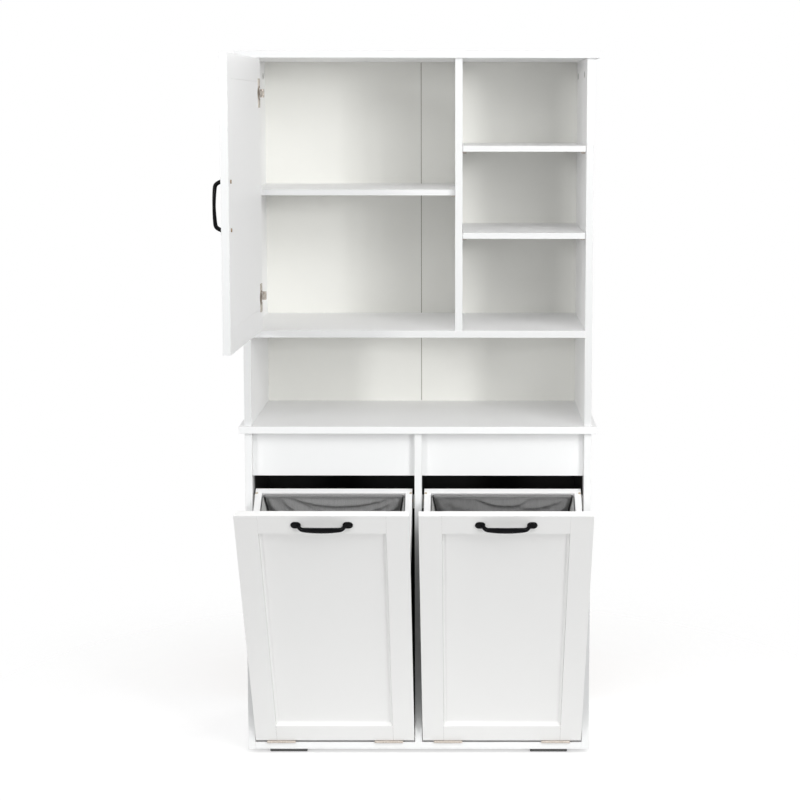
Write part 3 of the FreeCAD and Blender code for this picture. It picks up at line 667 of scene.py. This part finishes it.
def back_seam():
    """A brown strip let into the seam between the hutch's two back panels."""
    rings = []
    for z in spaced(HUTCH_Z + 0.001, HUTCH_TOP_Z - 0.001, 0.08):
        dent = STRIP_DENT * math.sin(90 * z)
        face, rear = STRIP_Y
        left, right = -STRIP_HALF, STRIP_HALF
        corners = ((left, face + dent), (right, face - dent), (right, rear), (left, rear))
        rings.append([Vector((x, y, z)) for x, y in corners])
    place_piece("back_seam_strip", skin("seam", [rings]), "cabinet", BROWN_BOARD)


def board_fittings():
    """Cam locks under the top board, and the screws of the hinge plates and fixed hinge leaves."""
    inner = CARCASS_HALF - BOARD
    locks = [
        ((side * inner, y, HUTCH_TOP_Z - LOCK_DROP), (-side, 0, 0), (0, 0.7, 0.7))
        for side in (-1, 1)
        for y in LOCK_Y
    ]
    set_out("cam_locks", LOCKS, locks, {}, "cabinet", LOCK_ZINC)
    screws = [
        ((-inner + PLATE_THICKNESS, PLATE_Y, level + rise), RIGHT, (0, 0.6, 0.8))
        for level in HINGE_LEVELS
        for rise in (-PLATE_SCREW_RISE, PLATE_SCREW_RISE)
    ]
    set_out("hinge_plate_screws", SCREWS, screws, {}, "cabinet", NICKEL)
    leaf = [((x, LEAF_Y, LEAF_Z), UP, RIGHT) for x in leaf_screw_lines()]
    set_out("fixed_leaf_screws", SCREWS, leaf, LEAF_HEAD, "cabinet", NICKEL)


def leaf_screw_lines():
    """Places along X of the butt hinges' screws, in the shared frame."""
    middles = [side * (HAMPER_ORIGIN.x + shift) for side in (-1, 1) for shift in (-LEAF_SHIFT, LEAF_SHIFT)]
    return [middle + step for middle in middles for step in (-LEAF_SCREW_STEP, 0.0, LEAF_SCREW_STEP)]


def carcass():
    """Boards, backs, feet and fittings of the cabinet."""
    hutch = ("left_side", "right_side", "top_board", "divider", "fixed_shelf")
    shelves = ("left_shelf", "right_upper_shelf", "right_lower_shelf")
    base = ("left_side", "right_side", "floor_board", "centre_divider", "left_apron", "right_apron")
    for board in hutch + shelves:
        eased(f"hutch_{board}", "cabinet", WHITE, BOARD_ARRIS)
    for board in base:
        eased(f"base_{board}", "cabinet", BASE_WHITE, BOARD_ARRIS)
    eased("countertop", "cabinet", BASE_WHITE, BOARD_ARRIS)
    for bay in ("left", "right"):
        eased(f"hutch_{bay}_back_panel", "cabinet", PALE_BACK, BACK_ARRIS)
    eased("base_back_panel", "cabinet", PAINTED_SHADE_BACK, BACK_ARRIS)
    eased("feet", "cabinet", FOOT_GREY, FOOT_ARRIS)
    eased("shelf_pins", "cabinet", NICKEL, PIN_ARRIS)
    eased("door_hinge_arms", "cabinet", NICKEL, ARM_ARRIS)
    eased("hamper_hinge_fixed_leaves", "cabinet", NICKEL, LEAF_ARRIS)
    eased("hamper_hinge_pins", "cabinet", NICKEL, LEAF_ARRIS)
    eased("hamper_stop_blocks", "cabinet", STOP_GREY, BLOCK_ARRIS)
    back_brads()
    back_seam()
    board_fittings()


def framed_front(prefix, body, material, arris):
    """Stiles, rails and coved panel of a front."""
    for name in ("left_stile", "right_stile", "bottom_rail", "top_rail", "panel"):
        eased(f"{prefix}_{name}", body, material, arris)


def joint_shade_lines(prefix, place):
    """Dark lines in the grooves between a hamper front's stiles and its rails, painted shade for the shadow
    in those joints.
    """
    lines = []
    face, back = (FRONT_FACE + depth for depth in JOINT_SHADE_SPAN)
    for x in (-STILE_EDGE, STILE_EDGE):
        for low, high in RAIL_SPANS:
            rings = []
            for z in spaced(low + JOINT_SHADE_END, high - JOINT_SHADE_END, 0.01):
                half = JOINT_SHADE_HALF + 0.00003 * math.sin(700 * z)
                corners = ((x - half, face), (x + half, face), (x + half, back), (x - half, back))
                rings.append([Vector((a, b, z)) for a, b in corners])
            lines.append(rings)
    mesh = skin("joints", lines)
    mesh.transform(place)
    place_piece(f"{prefix}_front_joint_shade_lines", mesh, prefix, JOINT_SHADE_GREY)


def foot_outline(side, inset, height):
    """One ring of a handle's foot: a long round, just outside the screw."""
    radius = FOOT_RADIUS - inset
    points = []
    for i in range(32):
        angle = 2 * math.pi * i / 32
        shift = FOOT_SHIFT if math.cos(angle) > 0 else 0.0
        x = HANDLE_SPAN / 2 + FOOT_OFFSET + shift + radius * math.cos(angle)
        points.append(Vector((side * x, -height, radius * math.sin(angle))))
    return points


def bow_line():
    """Points along the middle of a handle, from foot to foot, reaching out along -Y."""
    half = HANDLE_SPAN / 2
    leg = [(half + 0.001, -0.001), (half + 0.0002, 0.0036), (half - 0.0022, 0.0085), (half - 0.006, 0.0142)]
    bow = [(half - 0.013, 0.0155), (half - 0.030, 0.0167)]
    run = leg + bow
    points = [(-x, out) for x, out in run] + [(0.0, HANDLE_REACH)] + [(x, out) for x, out in reversed(run)]
    curve = bpy.data.curves.new("bow", "CURVE")
    curve.dimensions = "3D"
    spline = curve.splines.new("NURBS")
    spline.points.add(len(points) - 1)
    for point, (x, out) in zip(spline.points, points):
        point.co = (x, -out, 0.0, 1.0)
    spline.order_u = 4
    spline.use_endpoint_u = True
    spline.resolution_u = 8
    line = plain_mesh(holder_of(curve))
    return [vertex.co.copy() for vertex in line.vertices]


def bow_section(point):
    """Half thickness and half height of the handle: slim legs, flared feet and a full bow."""
    along = min(abs(point.x) / BOW_HALF, 1.0)
    flare = max(0.0, 1 + point.y / FLARE_REACH) ** 2
    thick = BOW_THICK + LEG_THICKER * along + FLARE_THICK * flare
    return thick, BOW_TALL - LEG_LOWER * along * along + FLARE_TALL * flare


def skin(name, lofts):
    """A mesh of closed skins, each bridged over its rings of points and closed at both ends."""
    work = bmesh.new()
    for rings in lofts:
        rings = [[work.verts.new(point) for point in ring] for ring in rings]
        for low, high in zip(rings, rings[1:]):
            for i in range(len(low)):
                j = (i + 1) % len(low)
                work.faces.new((low[i], low[j], high[j], high[i]))
        work.faces.new(rings[0])
        work.faces.new(rings[-1])
    bmesh.ops.recalc_face_normals(work, faces=work.faces)
    mesh = bpy.data.meshes.new(name)
    work.to_mesh(mesh)
    work.free()
    return mesh


def bow_handle(node, body, place):
    """A bow handle along X with its feet on the plane Y = 0, put in its place."""
    line = bow_line()
    turns = [2 * math.pi * k / 24 for k in range(24)]
    bow = []
    for i, point in enumerate(line):
        ahead = (line[min(i + 1, len(line) - 1)] - line[max(i - 1, 0)]).normalized()
        across = ahead.cross(Vector((0, 0, 1)))
        thick, tall = bow_section(point)
        bow.append([point + across * thick * math.cos(t) + Vector((0, 0, tall * math.sin(t))) for t in turns])
    feet = [[foot_outline(side, *step) for step in FOOT_STEPS] for side in (-1, 1)]
    mesh = skin(node, [bow, *feet])
    mesh.transform(place)
    smooth_curves(mesh, ROUND_EDGE)
    return place_piece(f"{node}_bow", mesh, body, BLACK, [node])


def door():
    """The open door with its handle, screws and hinge cups."""
    framed_front("door", "door", DOOR_WHITE, DOOR_ARRIS)
    turned = Matrix.Translation(DOOR_HANDLE) @ Matrix.Rotation(math.pi / 2, 4, "Y")
    bow_handle("door_handle", "door", door_place() @ turned)
    eased("door_handle_screws", "door", STEEL, PIN_ARRIS)
    eased("door_hinge_cups", "door", NICKEL, CUP_ARRIS)
    eased("door_hinge_links", "door_hinge_links", NICKEL, CUP_ARRIS)
    rises = (-EAR_SCREW_RISE, EAR_SCREW_RISE)
    ears = [(CUP_X, EAR_FACE, level + rise) for level in HINGE_LEVELS for rise in rises]
    heads = moved([(ear, REAR, (0.6, 0, 0.8)) for ear in ears], door_place())
    set_out("hinge_ear_screws", SCREWS, heads, {}, "door", NICKEL)


def moved(places, place):
    """Places with their facings and runs, taken from a body's own frame to the shared frame."""
    turn = place.to_3x3()
    return [(place @ Vector(at), turn @ Vector(facing), turn @ Vector(along)) for at, facing, along in places]


# The bag's net: cells across and along, and rows that are finer near the rim
BAG_CELLS = (48, 36)
FINE_ROWS = 16
COARSE_ROWS = 30
FINE_DROP = 0.060

# The bag as sewn: room for its bulge, room to its frame, corner radius, taper, slack and cloth thickness
BAG_BULGE = 0.012
BAG_DROP = BAG_RIM - BAG_LOW - BAG_BULGE
BAG_CLEAR = 0.0016
BAG_CORNER = 0.004
BAG_TAPER = 0.03
BAG_SLACK = 0.03
BAG_WALL = 0.0008
HEM_DROP = 0.012
TAPE_DROP = 0.046
TAPE_LEAN = 0.005
RIPPLE_DEPTH = 0.0035
RIPPLE_GROWTH = 0.10
HANG_STEPS = 30


def eased_step(share):
    """A number from 0 to 1 that starts and ends level."""
    share = np.clip(share, 0.0, 1.0)
    return share * share * (3 - 2 * share)


def bag_point(across, along, drop):
    """A point of the bag as cut: across and along from -1 to 1, drop in metres below the rim."""
    half = np.array((BAG_HALF, (BAG_BACK - BAG_FRONT) / 2)) - BAG_CLEAR
    flat = np.array((across, along)) * half
    inner = np.clip(flat, BAG_CORNER - half, half - BAG_CORNER)
    off = flat - inner
    length = np.linalg.norm(off)
    if length > 0:
        flat = inner + off / length * np.abs(off).max()
    flat = flat * (1 - BAG_TAPER * drop / BAG_DROP)
    flat[0] *= 1 - TAPE_LEAN * eased_step(drop / TAPE_DROP) / BAG_HALF
    return np.array((flat[0], flat[1] + (BAG_FRONT + BAG_BACK) / 2, BAG_RIM - drop))


def bag_rows():
    """How far below the rim each row of the net lies."""
    fine = np.linspace(0.0, FINE_DROP, FINE_ROWS + 1)
    return np.concatenate((fine, np.linspace(FINE_DROP, BAG_DROP, COARSE_ROWS + 1)[1:]))


def bag_edge():
    """The net's corners round the rim, counted across and along."""
    nx, ny = BAG_CELLS
    edge = [(i, 0) for i in range(nx)] + [(nx, j) for j in range(ny)]
    return edge + [(i, ny) for i in range(nx, 0, -1)] + [(0, j) for j in range(ny, 0, -1)]


def net_point(corner, drop):
    """A corner of the net, as a point of the bag."""
    across, along = (2 * count / cells - 1 for count, cells in zip(corner, BAG_CELLS))
    return bag_point(across, along, drop)


def bag_net():
    """Points, faces and map of a bag: four walls round the rim, and a bottom."""
    nx, ny = BAG_CELLS
    edge, rows = bag_edge(), bag_rows()
    around = len(edge)
    points = [net_point(corner, drop) for drop in rows for corner in edge]
    index = {corner: len(points) - around + column for column, corner in enumerate(edge)}
    for corner in [(i, j) for j in range(1, ny) for i in range(1, nx)]:
        index[corner] = len(points)
        points.append(net_point(corner, BAG_DROP))
    width, depth = 2 * BAG_HALF, BAG_BACK - BAG_FRONT
    pitch = 2 * (width + depth) / around
    faces, cloth_map = [], []
    for row in range(len(rows) - 1):
        for column in range(around):
            ahead = (column + 1) % around
            top, low = row * around, (row + 1) * around
            faces.append((top + column, low + column, low + ahead, top + ahead))
            u0, u1 = column * pitch, (column + 1) * pitch
            v0, v1 = -rows[row], -rows[row + 1]
            cloth_map.append(((u0, v0), (u0, v1), (u1, v1), (u1, v0)))
    for j in range(ny):
        for i in range(nx):
            corners = ((i, j), (i, j + 1), (i + 1, j + 1), (i + 1, j))
            faces.append(tuple(index[corner] for corner in corners))
            cloth_map.append(tuple((a * width / nx, b * depth / ny) for a, b in corners))
    return np.array(points), faces, cloth_map


def sewn_rows():
    """The net's points that the hem and the side tapes hold still."""
    edge, rows = bag_edge(), bag_rows()
    held = []
    for row, drop in enumerate(rows):
        for column, (across, _) in enumerate(edge):
            reach = TAPE_DROP if across in (0, BAG_CELLS[0]) else HEM_DROP
            if drop <= reach + 1e-6:
                held.append(row * len(edge) + column)
    return held


def ripple(points, phase):
    """Slack folds that a hung bag starts from: none at the rim, growing downwards."""
    drop = np.clip((BAG_RIM - TAPE_DROP - points[:, 2]) / RIPPLE_GROWTH, 0, 1)
    middle = (BAG_FRONT + BAG_BACK) / 2
    turn = np.arctan2(points[:, 1] - middle, points[:, 0])
    wave = np.sin(9 * turn + phase) + 0.6 * np.sin(17 * turn + 2.3 * phase + 14 * points[:, 2])
    inward = RIPPLE_DEPTH * drop * (1 + 0.5 * wave)
    out = points - np.array((0.0, middle, 0.0))
    out[:, 2] = 0
    size = np.linalg.norm(out, axis=1)[:, None]
    return points - np.where(size > 0.02, out / np.maximum(size, 0.02), 0.0) * inward[:, None]


def hang(holder, held):
    """Let the cloth hang from its sewn rows under its own weight."""
    group = holder.vertex_groups.new(name="sewn")
    group.add(held, 1.0, "REPLACE")
    cloth = holder.modifiers.new("hang", "CLOTH")
    settings = cloth.settings
    settings.quality = 5
    settings.mass = 0.12
    settings.tension_stiffness = 18
    settings.compression_stiffness = 12
    settings.shear_stiffness = 6
    settings.bending_stiffness = 0.25
    settings.air_damping = 2.5
    settings.vertex_group_mass = "sewn"
    settings.shrink_min = -BAG_SLACK
    scene = bpy.context.scene
    for step in range(1, HANG_STEPS + 1):
        scene.frame_set(step)
    mesh = plain_mesh(holder)
    scene.frame_set(1)
    return mesh


# Folds of the back wall under its hem, each from one place to another (across, drop), with its sag,
# how far it stands out and its width, in metres
LEFT_FOLDS = [
    ((-0.095, 0.0110), (0.120, 0.0120), 0.0095, 0.0100, 0.0052),
    ((-0.100, 0.0125), (0.128, 0.0150), 0.0190, -0.0060, 0.0050),
    ((-0.030, 0.0330), (0.140, 0.0150), 0.0130, 0.0080, 0.0055),
    ((-0.152, 0.0110), (-0.112, 0.0520), 0.0020, 0.0100, 0.0060),
    ((-0.118, 0.0110), (-0.020, 0.0600), 0.0060, 0.0110, 0.0055),
    ((-0.100, 0.0110), (0.000, 0.0470), 0.0070, -0.0050, 0.0045),
    ((0.152, 0.0110), (0.098, 0.0560), 0.0060, 0.0090, 0.0080),
]
RIGHT_FOLDS = [
    ((-0.055, 0.0110), (0.060, 0.0120), 0.0080, 0.0100, 0.0060),
    ((-0.060, 0.0160), (0.064, 0.0170), 0.0130, -0.0060, 0.0050),
    ((0.020, 0.0240), (0.140, 0.0120), 0.0060, 0.0090, 0.0060),
    ((0.156, 0.0110), (0.092, 0.0560), 0.0050, 0.0120, 0.0090),
    ((-0.140, 0.0140), (-0.020, 0.0330), 0.0080, 0.0040, 0.0080),
    ((-0.150, 0.0150), (-0.110, 0.0580), 0.0030, 0.0060, 0.0080),
]

# Where the folds start and the length over which they grow: off the back wall, under the hem, off the corners
FOLD_WALL = (0.030, 0.015)
FOLD_HEM = (0.008, 0.005)
FOLD_CORNER = (0.012, 0.008)


def fold_back_wall(points, folds):
    """Push swags and slanting folds out of the bag's back wall, below its hem."""
    drop = BAG_RIM - points[:, 2]
    wall = eased_step((points[:, 1] - BAG_BACK + FOLD_WALL[0]) / FOLD_WALL[1])
    wall *= eased_step((drop - FOLD_HEM[0]) / FOLD_HEM[1])
    wall *= eased_step((BAG_HALF - FOLD_CORNER[0] - np.abs(points[:, 0])) / FOLD_CORNER[1])
    share = np.linspace(0.0, 1.0, 33)
    for start, end, sag, rise, width in folds:
        line_x = start[0] + (end[0] - start[0]) * share
        line_drop = start[1] + (end[1] - start[1]) * share + 4 * sag * share * (1 - share)
        away = (points[:, 0, None] - line_x) ** 2 + (drop[:, None] - line_drop) ** 2
        near = away.argmin(1)
        fade = np.sin(math.pi * np.clip(share[near], 0.03, 0.97)) ** 0.6
        points[:, 1] -= wall * rise * fade * np.exp(-away.min(1) / width**2)
    return points


def mesh_points(mesh):
    """A mesh's points as rows of an array."""
    points = np.empty(len(mesh.vertices) * 3)
    mesh.vertices.foreach_get("co", points)
    return points.reshape(-1, 3)


def worked(mesh, kind, **settings):
    """A mesh with one modifier worked in."""
    holder = holder_of(mesh)
    modifier = holder.modifiers.new(kind, kind)
    for name, value in settings.items():
        setattr(modifier, name, value)
    return plain_mesh(holder)


def bag(prefix, side, phase, folds, cloth):
    """A laundry bag, hung in its frame and sagging."""
    points, faces, cloth_map = bag_net()
    points = ripple(points, phase)
    mesh = bpy.data.meshes.new(f"{prefix}_bag")
    mesh.from_pydata(points.tolist(), [], faces)
    layer = mesh.uv_layers.new(name="cloth")
    layer.data.foreach_set("uv", np.array(cloth_map).ravel())
    place = hamper_place(side)
    mesh.transform(place)
    mesh = hang(holder_of(mesh), sewn_rows())
    mesh.transform(place.inverted())
    mesh = worked(mesh, "SUBSURF", levels=1, render_levels=1)
    points = fold_back_wall(mesh_points(mesh), folds)
    edge = BAG_CLEAR - BAG_WALL
    points[:, 0] = np.clip(points[:, 0], edge - BAG_HALF, BAG_HALF - edge)
    points[:, 1] = np.clip(points[:, 1], BAG_FRONT + edge, BAG_BACK + BAG_BULGE)
    points[:, 2] = np.clip(points[:, 2], BAG_LOW - BAG_BULGE, None)
    mesh.vertices.foreach_set("co", points.ravel())
    mesh = worked(mesh, "SOLIDIFY", thickness=BAG_WALL, offset=1.0)
    mesh.transform(place)
    smooth_curves(mesh, 180.0)
    piece = place_piece(f"{prefix}_bag_cloth", mesh, prefix, cloth, [f"{prefix}_bag"])
    trimmings = bag_trimmings(prefix, place)
    return piece


# Sections of the hem and of the side tapes: shares of the thickness and of the drop
HEM_SECTION = [(0.5, 0.0), (1.0, 0.05), (1.3, 0.35), (1.0, 0.68), (0.7, 0.8), (0.95, 0.9), (0.5, 1.0)]
HEM_SECTION += [(0.0, 0.97), (0.0, 0.5), (0.0, 0.03)]
TAPE_SECTION = [(0.5, 0.0), (1.0, 0.02), (1.0, 0.2), (1.15, 0.45), (1.0, 0.7), (1.0, 0.98), (0.5, 1.0)]
TAPE_SECTION += [(0.0, 0.98), (0.0, 0.7), (0.0, 0.45), (0.0, 0.2), (0.0, 0.02)]
HEM_THICK = 0.0020
HEM_WIDTH = 0.0078
HEM_STITCH_DROP = 0.0074
TAPE_THICK = 0.0011
TAPE_STITCH_DROPS = (0.0050, TAPE_DROP - 0.007)
STITCH_PITCH = 0.0042

# How far the hems and tapes reach along their walls, as shares from -1 to 1, and their room off the cloth
HEM_REACH = (-0.965, 0.965)
TAPE_REACH = (-0.93, 0.94)
TRIM_START = 0.001
TRIM_LIFT = 0.0005

# Dark cords down the back corners, painted shade for the shadowed fold where the back wall meets the side:
# its start and length below the rim, its radius and its place inside the corner
SHADE_CORD_START = 0.005
SHADE_CORD_DROP = 0.060
SHADE_CORD_RADIUS = 0.0014
SHADE_CORD_INSET = (0.0030, 0.0026)


# The way into the bag from each of its walls
INWARD = {"front": (0, 1, 0), "back": (0, -1, 0), "left": (1, 0, 0), "right": (-1, 0, 0)}


def trim_point(wall, share, drop, out):
    """A place on the inside of one of the bag's walls, a little off the cloth."""
    across_in, along_in, _ = INWARD[wall]
    low, high = TAPE_REACH if across_in else HEM_REACH
    reach = low + (high - low) * share
    point = bag_point(-across_in, reach, drop) if across_in else bag_point(reach, -along_in, drop)
    return Vector(point) + Vector(INWARD[wall]) * (TRIM_LIFT + out)


def trim_rings(wall, section, drops, thickness):
    """Rings of a band along one wall."""
    rings = []
    for i, drop in enumerate(drops):
        share = i / (len(drops) - 1)
        swell = thickness * (1 + 0.12 * math.sin(23 * share + 2 * len(wall)))
        ring = [trim_point(wall, share, TRIM_START + down * drop, out * swell) for out, down in section]
        rings.append(ring)
    return rings


def trim_stitches(wall, level, out):
    """A row of stitches along one wall's band."""
    length, along = (2 * BAG_HALF, RIGHT) if wall in ("front", "back") else (BAG_BACK - BAG_FRONT, REAR)
    count = int(length / STITCH_PITCH)
    return [(trim_point(wall, (i + 0.5) / count, level, out), INWARD[wall], along) for i in range(count)]


def shade_cord_rings(side):
    """Rings of a dark cord down a back corner of the bag, painted shade for the shadowed fold in that corner.
    """
    rings = []
    inset = Vector((-SHADE_CORD_INSET[0] * side, -SHADE_CORD_INSET[1], 0.0))
    for i in range(25):
        middle = Vector(bag_point(side, 1.0, SHADE_CORD_START + SHADE_CORD_DROP * i / 24)) + inset
        turns = [2 * math.pi * k / 10 + 0.1 * i for k in range(10)]
        rings.append([middle + Vector((math.cos(t), math.sin(t), 0.0)) * SHADE_CORD_RADIUS for t in turns])
    return rings


def bag_trimmings(prefix, place):
    """Hems along the front and back, tapes along the sides, dark cords down the back corners as painted
    shade, and their stitches.
    """
    shares = [i / 48 for i in range(49)]
    hem_drops = [HEM_WIDTH + 0.0016 * math.sin(math.pi * s) + 0.0004 * math.sin(31 * s) for s in shares]
    tape_drops = [TAPE_DROP - 0.003 + 0.0008 * math.sin(19 * s) for s in shares]
    hems = [trim_rings(wall, HEM_SECTION, hem_drops, HEM_THICK) for wall in ("front", "back")]
    tapes = [trim_rings(wall, TAPE_SECTION, tape_drops, TAPE_THICK) for wall in ("left", "right")]
    # Painted shade: dark cords down the back corners stand for the shadowed fold there.
    corners = [shade_cord_rings(side) for side in (-1, 1)]
    trims = [("hem", hems, HEM_CLOTH), ("side_tapes", tapes, TAPE_CLOTH), ("corner_shade_cord", corners, SHADE_CORD_CLOTH)]
    pieces = []
    for label, lofts, material in trims:
        mesh = skin(label, lofts)
        mesh.transform(place)
        smooth_curves(mesh, ROUND_EDGE)
        pieces.append(place_piece(f"{prefix}_bag_{label}", mesh, prefix, material))
    stitches = []
    for wall in ("front", "back"):
        stitches += trim_stitches(wall, HEM_STITCH_DROP, 0.75 * HEM_THICK)
    for wall in ("left", "right"):
        for drop in TAPE_STITCH_DROPS:
            stitches += trim_stitches(wall, drop, 1.05 * TAPE_THICK)
    name = f"{prefix}_bag_stitches"
    pieces.append(set_out(name, STITCHES, moved(stitches, place), {}, prefix, THREAD))
    return pieces


def hamper(prefix, side, phase, folds, cloth):
    """A tilt-out hamper: front, handle, frame, stops and bag."""
    framed_front(f"{prefix}_front", prefix, FRONT_WHITE, FRONT_ARRIS)
    place = hamper_place(side)
    joint_shade_lines(prefix, place)
    bow_handle(f"{prefix}_handle", prefix, place @ Matrix.Translation((0, FRONT_FACE, HANDLE_Z)))
    eased(f"{prefix}_handle_screws", prefix, STEEL, PIN_ARRIS)
    for rail in ("left", "right", "back"):
        eased(f"{prefix}_{rail}_frame_rail", prefix, WHITE, BOARD_ARRIS)
    eased(f"{prefix}_stop_pins", prefix, BRASS, PIN_ARRIS)
    cap_x = FRAME_HALF - CAP_HEAD["Radius"]
    caps = moved([((x, FRAME_INNER_BACK, FRAME_TOP), UP, RIGHT) for x in (-cap_x, cap_x)], place)
    set_out(f"{prefix}_frame_corner_caps", BRADS, caps, CAP_HEAD, prefix, TAN_CAP)
    eased(f"{prefix}_hinge_leaves", prefix, NICKEL, LEAF_ARRIS)
    bag(prefix, side, phase, folds, cloth)


def seen_rays(graph):
    """1 for what the camera sees, straight, mirrored or through glass, and 0 for other light."""
    kinds = ("Is Camera Ray", "Is Glossy Ray", "Is Transmission Ray")
    seen, mirrored, through = graph.node("ShaderNodeLightPath", output=kinds)
    for ray in (mirrored, through):
        seen = seen.math("MAXIMUM", seen, ray)
    return seen


# The white of the floor that the camera sees, the floor's fade, and the world's light on the object
FLOOR_GLOW = (0.45, 0.45, 0.45, 1.0)
FLOOR_RADIUS = 2.4
FLOOR_FADE = (0.55, 1.5)
WORLD_LIGHT = 0.35


def studio_floor():
    """A pale round floor that keeps the shadow and runs out into the white backdrop."""
    work = bmesh.new()
    bmesh.ops.create_circle(work, cap_ends=True, segments=64, radius=FLOOR_RADIUS)
    mesh = bpy.data.meshes.new("floor")
    work.to_mesh(mesh)
    work.free()
    floor = bpy.data.objects.new("floor", mesh)
    bpy.context.scene.collection.objects.link(floor)
    finish = Finish("pale_floor", Roughness=0.9, Specular_IOR_Level=0.1, Emission_Strength=1.0)
    x, y, _ = finish.axes()
    far = x.math("SQRT", x * x + y * y)
    finish.set("Base Color", finish.mix(finish.noise(3.0), grey(226), grey(230)))
    finish.set("Alpha", finish.between(far, *FLOOR_FADE, 1.0, 0.0))
    finish.set("Emission Color", finish.mix(seen_rays(finish), (0, 0, 0, 1), FLOOR_GLOW))
    mesh.materials.append(finish.material)


def studio_world():
    """Even soft light all round, with a white backdrop for what the camera sees."""
    world = bpy.data.worlds.new("studio")
    bpy.context.scene.world = world
    world.use_nodes = True
    graph = Graph(world.node_tree)
    graph.tree.nodes.clear()
    strength = seen_rays(graph) * (1 - WORLD_LIGHT) + WORLD_LIGHT
    light = graph.node("ShaderNodeBackground", None, {"Color": (1, 1, 1, 1), "Strength": strength})
    graph.node("ShaderNodeOutputWorld", None, {"Surface": light})


# Soft boxes that face the cabinet's middle: place, width and power in watts
MIDDLE = Vector((0.0, 0.0, 1.0))
SOFT_BOXES = {
    "left_box": ((-7.58, -11.68, 2.6), 1.7, 323),
    "right_box": ((7.58, -11.68, 2.6), 1.7, 381),
    "near_left_box": ((-1.1, -1.9, 1.8), 1.0, 4),
    "near_right_box": ((1.1, -1.9, 1.8), 1.0, 15),
    "high_box": ((0.0, -2.0, 2.6), 1.6, 14.5),
    "rear_left_box": ((-2.4, 3.4, 2.6), 2.0, 36),
    "rear_right_box": ((2.4, 3.4, 2.6), 2.0, 30),
}


def soft_lamp(name, place, size, power):
    """A square soft box that faces the cabinet's middle."""
    lamp = bpy.data.lights.new(name, "AREA")
    lamp.shape = "SQUARE"
    lamp.size = size
    lamp.energy = power
    box = bpy.data.objects.new(name, lamp)
    box.location = place
    box.visible_camera = False
    box.rotation_euler = (MIDDLE - Vector(place)).to_track_quat("-Z", "Y").to_euler()
    bpy.context.scene.collection.objects.link(box)


# The camera, as the photograph was taken
LENS = 86.04
SENSOR = 36.0
CAMERA_PLACE = Vector((0.101435, -4.414454, 1.455868))
CAMERA_PITCH = math.radians(6.829)
CAMERA_YAW = math.radians(0.104)
CAMERA_ROLL = math.radians(0.068)
CAMERA_SHIFT = (-0.08358, -0.075)


def photo_camera():
    """Stand the camera where the photograph was taken."""
    lens = bpy.data.cameras.new("photo")
    lens.lens = LENS
    lens.sensor_width = SENSOR
    lens.shift_x, lens.shift_y = CAMERA_SHIFT
    camera = bpy.data.objects.new("photo", lens)
    turn = Matrix.Rotation(-CAMERA_YAW, 4, "Z") @ Matrix.Rotation(math.pi / 2 - CAMERA_PITCH, 4, "X")
    camera.matrix_world = Matrix.Translation(CAMERA_PLACE) @ turn @ Matrix.Rotation(CAMERA_ROLL, 4, "Z")
    bpy.context.scene.collection.objects.link(camera)
    bpy.context.scene.camera = camera


bpy.context.scene.view_settings.view_transform = "Standard"
carcass()
door()
hamper("left_hamper", -1, 0.7, LEFT_FOLDS, LEFT_CLOTH)
hamper("right_hamper", 1, 2.9, RIGHT_FOLDS, RIGHT_CLOTH_PAINTED_SHADE)
studio_floor()
studio_world()
for lamp_name, lamp_setting in SOFT_BOXES.items():
    soft_lamp(lamp_name, *lamp_setting)
photo_camera()
